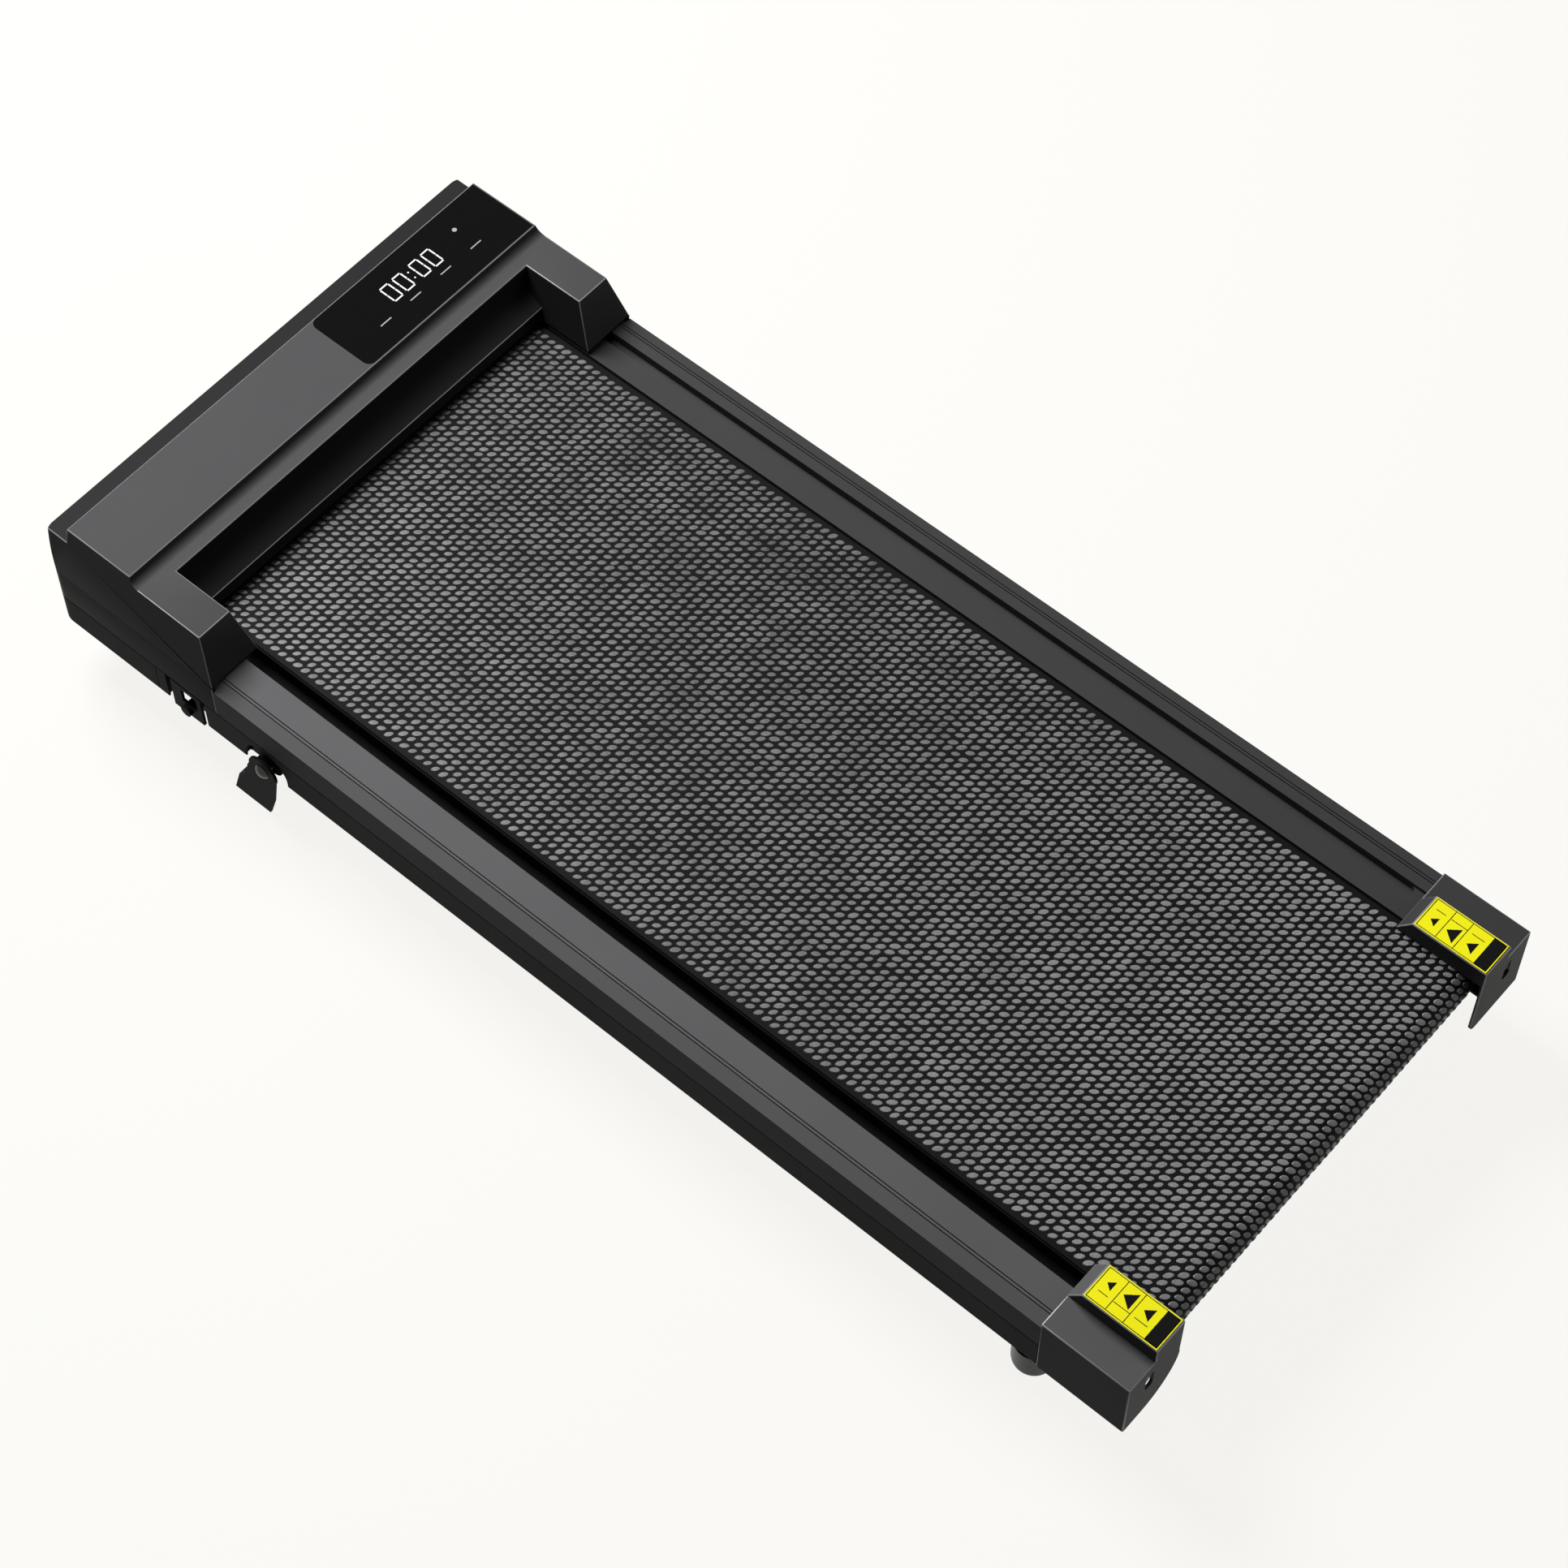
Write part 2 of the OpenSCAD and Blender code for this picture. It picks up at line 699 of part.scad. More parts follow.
// Flanged pulley on a D-shaped or round bore, its rim between two flanges
module pulley(x, y, z, r, bore) {
    groove = pulley_w - 3;
    difference() {
        union() {
            rod_x(x, x + pulley_w, y, z, r - 1.5);
            rod_x(x, x + 1.5, y, z, r);
            rod_x(x + 1.5 + groove, x + pulley_w, y, z, r);
        }
        rod_x(x - 1, x + pulley_w + 1, y, z, bore);
    }
}

module motor_pulley() {
    color([0.6, 0.6, 0.62])
        pulley(pulley_x, motor_y, motor_z, motor_pulley_r, shaft_r + eps);
}

// Cooling fan and flywheel at the far end of the shaft
module motor_fan() {
    fan_x = motor_x + motor_l + 6;
    fan_r = motor_r - 4;
    blades = 9;
    color([0.35, 0.35, 0.37]) difference() {
        union() {
            rod_x(fan_x, fan_x + 5, motor_y, motor_z, fan_r);
            rod_x(fan_x, fan_x + 16, motor_y, motor_z, 11);
            for (i = [0:blades - 1]) translate([fan_x + 4, motor_y, motor_z])
                rotate([i * 360 / blades, 0, 0]) translate([0, 9, -1]) cube([11, fan_r - 11, 2]);
        }
        rod_x(fan_x - 1, fan_x + 17, motor_y, motor_z, shaft_r + eps);
    }
}

// Drive belt round both pulleys, as the outline between two circles and their tangents
module drive_belt() {
    x = pulley_x + 2;
    rim = 1.5 - 0.3;
    color([0.06, 0.06, 0.06]) bar_x(x, x + pulley_w - 4) difference() {
        drive_outline(roller_pulley_r - rim + 2.4, motor_pulley_r - rim + 2.4);
        drive_outline(roller_pulley_r - rim, motor_pulley_r - rim);
    }
}

module drive_outline(r1, r2) {
    p1 = [front_roller_y, roller_z];
    p2 = [motor_y, motor_z];
    span = norm(p2 - p1);
    tilt = atan2(p2[1] - p1[1], p2[0] - p1[0]);
    lean = acos((r1 - r2) / span);
    translate(p1) circle(r1);
    translate(p2) circle(r2);
    polygon([
        for (a = [tilt + lean, tilt - lean]) p1 + r1 * [cos(a), sin(a)],
        for (a = [tilt - lean, tilt + lean]) p2 + r2 * [cos(a), sin(a)]
    ]);
}

module controller_board() {
    x1 = controller_x + controller_w;
    y1 = controller_y + controller_l;
    top = controller_z + board_t;
    color([0.05, 0.25, 0.1]) {
        box(controller_x, x1, controller_y, y1, controller_z, top);
        for (x = [controller_x + 6, x1 - 6], y = [controller_y + 6, y1 - 6])
            translate([x, y, bed_z]) cylinder(h = controller_z - bed_z, r = 3);
        for (k = [1:3]) translate([controller_x + 4 + 26 * k, controller_y + 0.3 * controller_l, top])
            cylinder(h = controller_h, r = 10);
    }
}

// Finned block at the right end of the control board
module controller_heatsink() {
    base_z = controller_z + board_t;
    fin_pitch = 6;
    fins = 8;
    x0 = controller_x + controller_w - fins * fin_pitch;
    y0 = controller_y + 8;
    y1 = controller_y + controller_l - 8;
    color([0.7, 0.7, 0.72]) {
        box(x0, x0 + fins * fin_pitch - 4, y0, y1, base_z, base_z + 4);
        for (i = [0:fins - 1])
            box(x0 + i * fin_pitch, x0 + i * fin_pitch + 2, y0, y1, base_z + 4, base_z + controller_h);
    }
}

// A roller: a hollow tube on two bearings that run on the fixed axle
module roller(y) {
    difference() {
        union() {
            difference() {
                rod_x(-roller_half, roller_half, y, roller_z, roller_r);
                rod_x(-roller_half - 1, roller_half + 1, y, roller_z, roller_r - roller_wall);
            }
            for (s = [-1, 1])
                rod_x(s * (roller_half - bearing_w / 2) - bearing_w / 2,
                      s * (roller_half - bearing_w / 2) + bearing_w / 2, y, roller_z, roller_r - 1);
        }
        rod_x(-roller_half - 1, roller_half + 1, y, roller_z, axle_r + run_gap);
    }
}

module front_roller_tube() {
    color([0.72, 0.72, 0.74]) roller(front_roller_y);
}

module front_roller_pulley() {
    color([0.15, 0.15, 0.16]) {
        pulley(pulley_x, front_roller_y, roller_z, roller_pulley_r, axle_r + run_gap);
        difference() {
            rod_x(pulley_x + pulley_w, -roller_half, front_roller_y, roller_z, axle_r + 4);
            rod_x(pulley_x, -roller_half + 1, front_roller_y, roller_z, axle_r + run_gap);
        }
    }
}

// An axle that reaches through both side beams, with a nut at each end
module roller_axle(y) {
    rod_x(-web_out, web_out, y, roller_z, axle_r);
    for (s = [-1, 1]) translate([s * (web_in - 6), y, roller_z]) rotate([0, 90, 0]) difference() {
        cylinder(h = 12 - 2 * fit, r = axle_r + 4, $fn = 6, center = true);
        cylinder(h = 14, r = axle_r - 1, center = true);
    }
}

module front_roller_axle() {
    color([0.72, 0.72, 0.74]) roller_axle(front_roller_y);
}

module rear_roller_axle() {
    color([0.72, 0.72, 0.74]) difference() {
        roller_axle(rear_roller_y);
        for (s = [-1, 1]) translate([s * adjuster_x, rear_roller_y, roller_z])
            rotate([90, 0, 0]) cylinder(h = 60, r = adjuster_r + 0.05, center = true);
    }
}

// Bolts through the rear axle that set the belt's tension from the rear plates
module belt_adjusters() {
    head_y = rear_y + plate_t;
    color([0.75, 0.75, 0.77]) for (s = [-1, 1]) translate([s * adjuster_x, head_y, roller_z])
        rotate([-90, 0, 0]) difference() {
            union() {
                cylinder(h = rear_roller_in + 20, r = adjuster_r);
                cylinder(h = 1.5, r = adjust_slot_w / 2 + 3.5);
                cylinder(h = 5, r = 5);
            }
            translate([0, 0, -1]) cylinder(h = 5, r = 2.5, $fn = 6);
        }
}

// Hole in the front wall with a shallow seat for a flange round it
module panel_hole(x, w, h, rim) {
    box(x - w / 2, x + w / 2, front_y - 10, front_y + 1, inlet_z - h / 2, inlet_z + h / 2);
    box(x - w / 2 - rim - fit, x + w / 2 + rim + fit, front_y - panel_t, front_y + 1,
        inlet_z - h / 2 - rim - fit, inlet_z + h / 2 + rim + fit);
}

// Housing that fills such a hole, with its flange flush with the wall
module panel_plug(x, w, h, rim, depth) {
    box(x - w / 2 + fit, x + w / 2 - fit, front_y - depth, front_y,
        inlet_z - h / 2 + fit, inlet_z + h / 2 - fit);
    box(x - w / 2 - rim, x + w / 2 + rim, front_y - panel_t, front_y,
        inlet_z - h / 2 - rim, inlet_z + h / 2 + rim);
}

// Mains inlet in the front wall, with three pins
module power_inlet() {
    pin_up = 3;
    color([0.04, 0.04, 0.04]) {
        difference() {
            panel_plug(inlet_x, inlet_w, inlet_h, inlet_rim, 24);
            box(inlet_x - inlet_w / 2 + 3, inlet_x + inlet_w / 2 - 3, front_y - 18, front_y + 1,
                inlet_z - inlet_h / 2 + 3.5, inlet_z + inlet_h / 2 - 3.5);
        }
        for (x = [-7, 0, 7]) {
            z = inlet_z + (x == 0 ? pin_up : 0);
            box(inlet_x + x - 1, inlet_x + x + 1, front_y - 18, front_y - 4, z - 2.5, z + 2.5);
        }
    }
}

module power_switch_frame() {
    color([0.04, 0.04, 0.04]) difference() {
        panel_plug(switch_x, switch_w, switch_h, switch_rim, 18);
        box(switch_x - switch_w / 2 + 2.5, switch_x + switch_w / 2 - 2.5, front_y - 13, front_y + 1,
            inlet_z - 7, inlet_z + 7);
        rod_x(switch_x - switch_w / 2 + 1, switch_x + switch_w / 2 - 1, rocker_y, inlet_z,
              rocker_r + run_gap);
    }
}

// Rocker that tips about a pin across the switch
module power_switch_rocker() {
    half = switch_w / 2 - 3;
    color([0.1, 0.1, 0.1]) {
        bar_x(switch_x - half, switch_x + half) polygon([
            [rocker_y - 4, inlet_z - 4], [rocker_y + 2.5, inlet_z - 6], [rocker_y + 3.2, inlet_z],
            [rocker_y + 5, inlet_z + 4.6], [rocker_y - 4, inlet_z + 4]
        ]);
        rod_x(switch_x - half - 1.7, switch_x + half + 1.7, rocker_y, inlet_z, rocker_r);
    }
}

module transport_wheel(side) {
    w = wheel_out_x - wheel_in_x;
    color([0.04, 0.04, 0.04]) on_side(side) translate([wheel_in_x, wheel_y, wheel_z])
        rotate([90, 0, 90]) rotate_extrude($fn = 96) polygon([
            [wheel_axle_r + run_gap, 0], [13, 0], [13, 3], [wheel_r - 6, 3], [wheel_r - 6, 1],
            [wheel_r - 2, 0], [wheel_r, 2], [wheel_r, w - 2], [wheel_r - 2, w],
            [wheel_r - 6, w - 1], [wheel_r - 6, w - 3], [13, w - 3],
            [13, w], [wheel_axle_r + run_gap, w]
        ]);
}

module wheel_axle(side) {
    color([0.1, 0.1, 0.1]) on_side(side) {
        rod_x(wheel_in_x - 5, half_w + 4, wheel_y, wheel_z, wheel_axle_r);
        rod_x(wheel_in_x - 7, wheel_in_x - 4, wheel_y, wheel_z, wheel_axle_r + 3);
    }
}

// Bracket over the wheel: outer plate in the skirt's window, inner plate, roof and fixing tab
module wheel_bracket(side) {
    roof = wheel_z + wheel_r + 1.3;
    reach = 19;
    color([0.13, 0.13, 0.13]) on_side(side) difference() {
        union() {
            box(wheel_in_x - 3.5, wheel_in_x - 1, wheel_y - reach, wheel_y + reach, wheel_z - 10, roof + 2);
            box(half_w - 3, half_w, wheel_y - reach, wheel_y + reach, wheel_z - 9, roof + 2);
            box(wheel_in_x - 3.5, half_w, wheel_y - reach, wheel_y + reach, roof, roof + 2);
            box(web_in - 3, web_in, wheel_y - reach, wheel_y + reach, roof, beam_top - beam_t - 4);
        }
        rod_x(wheel_in_x - 5, half_w + 1, wheel_y, wheel_z, wheel_axle_r + 0.03);
        box(half_w - 4, half_w + 1, wheel_y - 13, wheel_y + 6, wheel_z + wheel_axle_r + 3, roof - 4);
    }
}

// Side view of a foot plate about its pivot: round hub, leaning leg and flat sole
module foot_outline() {
    drop = foot_z;
    toe = foot_toe;
    difference() {
        union() {
            circle(foot_hub_r);
            polygon([
                [1 - foot_hub_r, -0.04 * drop], [-0.2 * toe, -0.6 * drop], [0, -drop], [toe, -drop],
                [0.87 * toe, -0.73 * drop], [0.79 * toe, -0.56 * drop], [0.62 * toe, -0.41 * drop],
                [0.51 * toe, -0.26 * drop], [foot_hub_r + 3, -0.1 * drop], [0.7 * foot_hub_r, 0.14 * drop]
            ]);
        }
        circle(pin_r + run_gap);
    }
}

// Incline foot: two plates, a web between their front edges, and a sole
module incline_foot(side) {
    drop = foot_z;
    toe = foot_toe;
    web = foot_t;
    color([0.08, 0.08, 0.08]) on_side(side) translate([0, foot_y, foot_z]) {
        bar_x(foot_out_x, foot_out_x + foot_t) foot_outline();
        bar_x(foot_in_x, foot_in_x + foot_t) foot_outline();
        bar_x(foot_in_x + foot_t, foot_out_x) union() {
            polygon([
                [0.79 * toe, -0.56 * drop], [0.79 * toe - web, -0.57 * drop], [toe - web - 1, -drop],
                [toe, -drop], [0.87 * toe, -0.73 * drop]
            ]);
            rect(0.6 * toe, 0.96 * toe, -drop, -0.93 * drop);
        }
    }
}

// Pivot pin through lug and foot, with a domed head outside
module foot_pin(side) {
    color([0.5, 0.5, 0.52]) on_side(side) {
        rod_x(foot_in_x - 2, foot_out_x + foot_t + 0.3, foot_y, foot_z, pin_r);
        translate([foot_out_x + foot_t + 0.3, foot_y, foot_z]) rotate([90, 0, 90])
            rotate_extrude() intersection() {
                translate([0, -6]) circle(10);
                square([10, 4]);
            }
    }
}

// Lug inside the beam that carries the pivot pin
module foot_lug(side) {
    lug_t = 6;
    color([0.1, 0.1, 0.1]) on_side(side) difference() {
        union() {
            box(web_in - lug_t, web_in, foot_y - 22, foot_y + 22, foot_z, beam_top - beam_t - 4);
            rod_x(web_in - lug_t, web_in, foot_y, foot_z, 14);
        }
        rod_x(web_in - lug_t - 1, web_in + 1, foot_y, foot_z, pin_r + eps);
    }
}

// Rubber rear foot: a rounded cup with a narrower neck and a flat sole
module rear_foot(side) {
    neck_z = skirt_z - 20;
    round_r = 14;
    flat_r = rear_foot_r - round_r;
    color([0.05, 0.05, 0.05]) on_side(side) translate([half_w - 26, rear_y + rear_foot_in, 0])
        rotate_extrude($fn = 96) union() {
            rect(0, flat_r, 0, neck_z);
            intersection() {
                translate([flat_r, round_r]) circle(round_r);
                rect(0, rear_foot_r, 0, round_r);
            }
            rect(0, rear_foot_r, round_r, neck_z);
            rect(0, rear_foot_r - 3, neck_z, beam_bottom);
        }
}

module rear_skid_blocks() {
    y1 = rear_y + rear_foot_in - rear_foot_r - 10;
    x1 = half_w - 12;
    color([0.04, 0.04, 0.04]) for (s = [-1, 1]) on_side(s)
        box(x1 - skid_w, x1, y1 - skid_l, y1, skirt_z - skid_drop, beam_bottom);
}

running_belt();
running_deck();
deck_cushions();
side_beam(-1);  // left_side_beam
side_beam(1);  // right_side_beam
for (i = [1:tube_n]) cross_tube(i);
left_foot_rail();
right_foot_rail();
lower_skirt(-1);  // left_lower_skirt
lower_skirt(1);  // right_lower_skirt
end_cap(-1, left_corner_r);  // left_end_cap
end_cap(1, right_corner_r);  // right_end_cap
marker_strip(-1);  // left_marker_strip
marker_strip(1);  // right_marker_strip
hood_cover();
display_lens();
display_board();
base_pan();
motor_plate();
motor_can();
motor_saddle();
motor_shaft();
motor_pulley();
motor_fan();
drive_belt();
controller_board();
controller_heatsink();
front_roller_tube();
front_roller_pulley();
front_roller_axle();
color([0.72, 0.72, 0.74]) roller(rear_roller_y);  // rear_roller_tube
rear_roller_axle();
belt_adjusters();
power_inlet();
power_switch_frame();
power_switch_rocker();
transport_wheel(-1);  // left_transport_wheel
transport_wheel(1);  // right_transport_wheel
wheel_axle(-1);  // left_wheel_axle
wheel_axle(1);  // right_wheel_axle
wheel_bracket(-1);  // left_wheel_bracket
wheel_bracket(1);  // right_wheel_bracket
incline_foot(-1);  // left_incline_foot
incline_foot(1);  // right_incline_foot
foot_pin(-1);  // left_foot_pin
foot_pin(1);  // right_foot_pin
foot_lug(-1);  // left_foot_lug
foot_lug(1);  // right_foot_lug
rear_foot(-1);  // left_rear_foot
rear_foot(1);  // right_rear_foot
rear_skid_blocks();
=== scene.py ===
import bpy
import bmesh
import json
import math
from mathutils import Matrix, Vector


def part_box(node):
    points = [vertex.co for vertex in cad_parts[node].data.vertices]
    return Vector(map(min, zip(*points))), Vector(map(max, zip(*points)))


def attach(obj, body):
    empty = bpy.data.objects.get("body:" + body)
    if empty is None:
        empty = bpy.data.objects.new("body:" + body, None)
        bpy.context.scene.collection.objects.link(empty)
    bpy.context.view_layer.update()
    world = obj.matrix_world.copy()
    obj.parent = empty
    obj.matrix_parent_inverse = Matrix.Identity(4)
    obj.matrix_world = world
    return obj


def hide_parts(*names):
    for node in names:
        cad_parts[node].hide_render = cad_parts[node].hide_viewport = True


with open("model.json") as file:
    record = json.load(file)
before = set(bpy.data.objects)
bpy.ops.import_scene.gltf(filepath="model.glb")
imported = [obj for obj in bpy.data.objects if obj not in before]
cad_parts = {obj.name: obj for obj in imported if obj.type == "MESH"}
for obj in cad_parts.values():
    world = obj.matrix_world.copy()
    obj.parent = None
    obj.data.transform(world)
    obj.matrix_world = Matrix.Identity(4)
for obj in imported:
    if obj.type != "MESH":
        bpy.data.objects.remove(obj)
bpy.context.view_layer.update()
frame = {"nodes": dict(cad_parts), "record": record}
mm = 0.001


class Socket:
    # wraps a node's output, so that sums and products read as plain maths
    def __init__(self, graph, link):
        self.graph, self.link = graph, link

    def join(self, operation, first, second=None):
        values = [first] if second is None else [first, second]
        node = self.graph.node("ShaderNodeMath", {"operation": operation}, dict(enumerate(values)))
        return self.graph.out(node)

    def __add__(self, other): return self.join("ADD", self, other)
    def __radd__(self, other): return self.join("ADD", other, self)
    def __sub__(self, other): return self.join("SUBTRACT", self, other)
    def __rsub__(self, other): return self.join("SUBTRACT", other, self)
    def __mul__(self, other): return self.join("MULTIPLY", self, other)
    def __truediv__(self, other): return self.join("DIVIDE", self, other)
    def __neg__(self): return self.join("MULTIPLY", self, -1)

    def above(self, other): return self.join("MAXIMUM", self, other)
    def below(self, other): return self.join("MINIMUM", self, other)
    def sine(self): return self.join("SINE", self)
    def cosine(self): return self.join("COSINE", self)


class Graph:
    def __init__(self, tree):
        self.tree = tree

    def node(self, kind, settings=None, inputs=None):
        made = self.tree.nodes.new(kind)
        for key, value in (settings or {}).items():
            setattr(made, key, value)
        for key, value in (inputs or {}).items():
            if isinstance(value, Socket):
                self.tree.links.new(value.link, made.inputs[key])
            else:
                made.inputs[key].default_value = value
        return made

    def out(self, node, key=0):
        return Socket(self, node.outputs[key])

    def spot(self):
        return self.out(self.node("ShaderNodeTexCoord"), "Object")

    def noise(self, place, scale, detail):
        return self.out(self.node("ShaderNodeTexNoise", None,
                                  {"Vector": place, "Scale": scale, "Detail": detail}))

    def between(self, share, first, second):
        # the mix node keeps its colours in sockets 6 and 7, and its colour result in 2
        return self.out(self.node("ShaderNodeMix", {"data_type": "RGBA"},
                                  {0: share, 6: first, 7: second}), 2)

    def bump(self, strength, distance, height):
        return self.out(self.node("ShaderNodeBump", None, {
            "Strength": strength, "Distance": distance, "Height": height}))


def grey(level, blue=0.0):
    return (level, level, level + blue, 1)


# finishes
plasticLooks = {
    "hood_plastic": {"colour": grey(0.056, 0.002), "rough": 0.38, "grain": 900, "depth": 0.10},
    # painted shade: a darker copy of the hood plastic, for the lip behind the display and the walls
    # round the belt's opening
    "hood_inset": {"colour": grey(0.017, 0.001), "rough": 0.38, "grain": 900, "depth": 0.05},
    "rail_plastic": {"colour": grey(0.088, 0.003), "rough": 0.42, "grain": 1100, "depth": 0.10},
    # painted shade: a darker copy of the rail plastic, for the far rail and far end cap
    "far_rail_plastic": {"colour": grey(0.042, 0.001), "rough": 0.42, "grain": 1100, "depth": 0.10},
    "dark_plastic": {"colour": grey(0.020, 0.001), "rough": 0.46, "grain": 900, "depth": 0.12},
    "black_rubber": {"colour": grey(0.005), "rough": 0.30,
                     "grain": 600, "depth": 0.12, "shine": 0.14},
    "painted_steel": {"colour": grey(0.014, 0.001), "rough": 0.44, "grain": 1500, "depth": 0.20},
    "belt_rubber": {"colour": grey(0.003), "rough": 0.60,
                    "grain": 700, "depth": 0.30, "shine": 0.05},
    # the deck's own black, also used for the painted shadow lines in the rail grooves and the
    # painted shade strips beside the deck
    "deck_board": {"colour": grey(0.004), "rough": 0.55, "grain": 300, "depth": 0.20},
    "board_green": {"colour": (0.010, 0.070, 0.022, 1), "rough": 0.35, "grain": 400, "depth": 0.05},
    "marker_yellow": {"colour": (0.82, 0.78, 0.012, 1), "rough": 0.45, "grain": 800, "depth": 0.06},
    "marker_ink": {"colour": grey(0.008), "rough": 0.50, "grain": 800, "depth": 0.05},
    # painted highlight: a lighter colour on the rounded outer edges of the hood and end caps
    "worn_edge": {"colour": grey(0.17, 0.006), "rough": 0.30,
                  "grain": 700, "depth": 0.08, "shine": 0.35},
}
metalLooks = {
    "zinc_steel": {"colour": grey(0.42, 0.01), "rough": 0.38, "streak": 300},
    "bright_steel": {"colour": grey(0.58, 0.01), "rough": 0.22, "streak": 700},
    "cast_alloy": {"colour": grey(0.48), "rough": 0.50, "streak": 60},
    "black_zinc": {"colour": grey(0.045), "rough": 0.26, "streak": 300},
}


def newMaterial(name):
    material = bpy.data.materials.new(name)
    material.use_nodes = True
    material.node_tree.nodes.clear()
    graph = Graph(material.node_tree)
    return material, graph


def surface(graph, inputs):
    shader = graph.node("ShaderNodeBsdfPrincipled", None, inputs)
    graph.node("ShaderNodeOutputMaterial", None, {"Surface": graph.out(shader)})


def toned(colour, factor):
    return tuple(min(c * factor, 1) for c in colour[:3]) + (1,)


def mouldedFinish(name, colour, rough, grain, depth, shine=0.012):
    # plastic, rubber and paint: a fine grain, with broad and faint changes of tone
    material, graph = newMaterial(name)
    place = graph.spot()
    fine = graph.noise(place, grain, 2.0)
    broad = graph.noise(place, 9.0, 4.0)
    surface(graph, {
        "Base Color": graph.between(broad * 0.5 + fine * 0.3, toned(colour, 0.86),
                                    toned(colour, 1.16)),
        "Roughness": rough + (broad - 0.5) * 0.14, "Normal": graph.bump(depth, 0.0004, fine),
        "Specular IOR Level": shine})
    return material


def metalFinish(name, colour, rough, streak):
    # brushed along the machine
    material, graph = newMaterial(name)
    turned = graph.out(graph.node("ShaderNodeMapping", None,
                                  {"Vector": graph.spot(), "Scale": (1.0, 0.08, 1.0)}))
    fine = graph.noise(turned, streak, 3.0)
    surface(graph, {
        "Base Color": graph.between(fine, toned(colour, 0.82), colour), "Metallic": 1.0,
        "Roughness": rough + (fine - 0.5) * 0.16, "Normal": graph.bump(0.08, 0.0003, fine)})
    return material


def padFinish():
    # tops of the tread, scuffed lighter in irregular patches, and lighter towards the rear
    material, graph = newMaterial("tread_pad")
    place = graph.spot()
    patch = graph.noise(place, 26.0, 5.0)
    speck = graph.noise(place, 420.0, 2.0)
    along = graph.out(graph.node("ShaderNodeSeparateXYZ", None, {0: place}), 1)
    rearward = (0.05 - along).above(0.0).below(0.6)
    padTone = ((patch - 0.5) * 0.8 + (speck - 0.5) * 0.5 + 0.22 + rearward).above(0.0).below(1.0)
    surface(graph, {
        "Base Color": graph.between(padTone, grey(0.028, 0.001), grey(0.215, 0.009)),
        "Roughness": 0.42 + (speck - 0.5) * 0.2, "Normal": graph.bump(0.3, 0.0003, speck),
        "Specular IOR Level": 0.25})
    return material


def glossFinish():
    material, graph = newMaterial("gloss_black")
    smear = graph.noise(graph.spot(), 30.0, 4.0)
    surface(graph, {"Base Color": grey(0.003), "Roughness": smear * 0.08 + 0.04,
                    "Specular IOR Level": 0.03})
    return material


def litFinish(name, strength):
    material, graph = newMaterial(name)
    cloud = graph.noise(graph.spot(), 160.0, 2.0)
    surface(graph, {
        "Base Color": grey(0.10), "Roughness": 0.4, "Emission Strength": strength,
        "Emission Color": graph.between(cloud, (0.66, 0.68, 0.66, 1), (1.0, 1.0, 0.97, 1))})
    return material


finishes = {name: mouldedFinish(name, **look) for name, look in plasticLooks.items()}
finishes.update({name: metalFinish(name, **look) for name, look in metalLooks.items()})
finishes["tread_pad"] = padFinish()
finishes["gloss_black"] = glossFinish()
finishes["display_light"] = litFinish("display_light", 0.8)
finishes["display_dim"] = litFinish("display_dim", 0.18)
print("finishes made:", len(finishes))


# making pieces
def newObject(name, data):
    made = bpy.data.objects.new(name, data)
    bpy.context.scene.collection.objects.link(made)
    return made


def meshOf(name, bm):
    mesh = bpy.data.meshes.new(name)
    bm.to_mesh(mesh)
    bm.free()
    return mesh


def keep(name, bm, finish, slot=None, stands=()):
    settle(name, meshOf(name, bm), finish, "frame", slot, stands)


def settle(name, mesh, finish, body="frame", slot=None, stands=()):
    # a finished piece: stands names the nodes that it replaces
    piece = newObject(name, mesh)
    if not mesh.materials:
        mesh.materials.append(finishes[finish])
    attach(piece, body)
    slot or finish
    if stands:
        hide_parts(*stands)


def evaluated(piece):
    bpy.context.view_layer.update()
    graph = bpy.context.evaluated_depsgraph_get()
    return bpy.data.meshes.new_from_object(piece.evaluated_get(graph))


def newTree(name, inputs):
    # an empty node tree with named inputs, its graph, and a way to read an input
    tree = bpy.data.node_groups.new(name, "GeometryNodeTree")
    for title, kind in inputs:
        tree.interface.new_socket(name=title, in_out="INPUT", socket_type="NodeSocket" + kind)
    tree.interface.new_socket(name="Geometry", in_out="OUTPUT",
                              socket_type="NodeSocketGeometry")
    graph = Graph(tree)
    given = graph.node("NodeGroupInput")

    def get(key):
        return graph.out(given, key)

    return tree, graph, get


def coat(graph, instances, finish):
    # the end of each tree: real geometry with its finish
    real = graph.node("GeometryNodeRealizeInstances", None, {0: graph.out(instances)})
    coated = graph.node("GeometryNodeSetMaterial", None,
                        {"Geometry": graph.out(real), "Material": finish})
    graph.node("NodeGroupOutput", None, {"Geometry": graph.out(coated)})


def grown(name, start, tree, values):
    # the mesh that a node tree makes from a start mesh, with its inputs set by identifier
    ids = {item.name: item.identifier for item in tree.interface.items_tree
           if item.in_out == "INPUT"}
    holder = newObject(name + "_rule", start)
    rule = holder.modifiers.new("rule", "NODES")
    rule.node_group = tree
    for key, value in values.items():
        rule[ids[key]] = value
    mesh = evaluated(holder)
    bpy.data.objects.remove(holder)
    return mesh


def addBox(bm, low, high):
    corners = [bm.verts.new((x, y, z)) for x in (low[0], high[0])
               for y in (low[1], high[1]) for z in (low[2], high[2])]
    for face in ((0, 1, 3, 2), (4, 6, 7, 5), (0, 4, 5, 1), (2, 3, 7, 6), (0, 2, 6, 4),
                 (1, 5, 7, 3)):
        bm.faces.new([corners[i] for i in face])


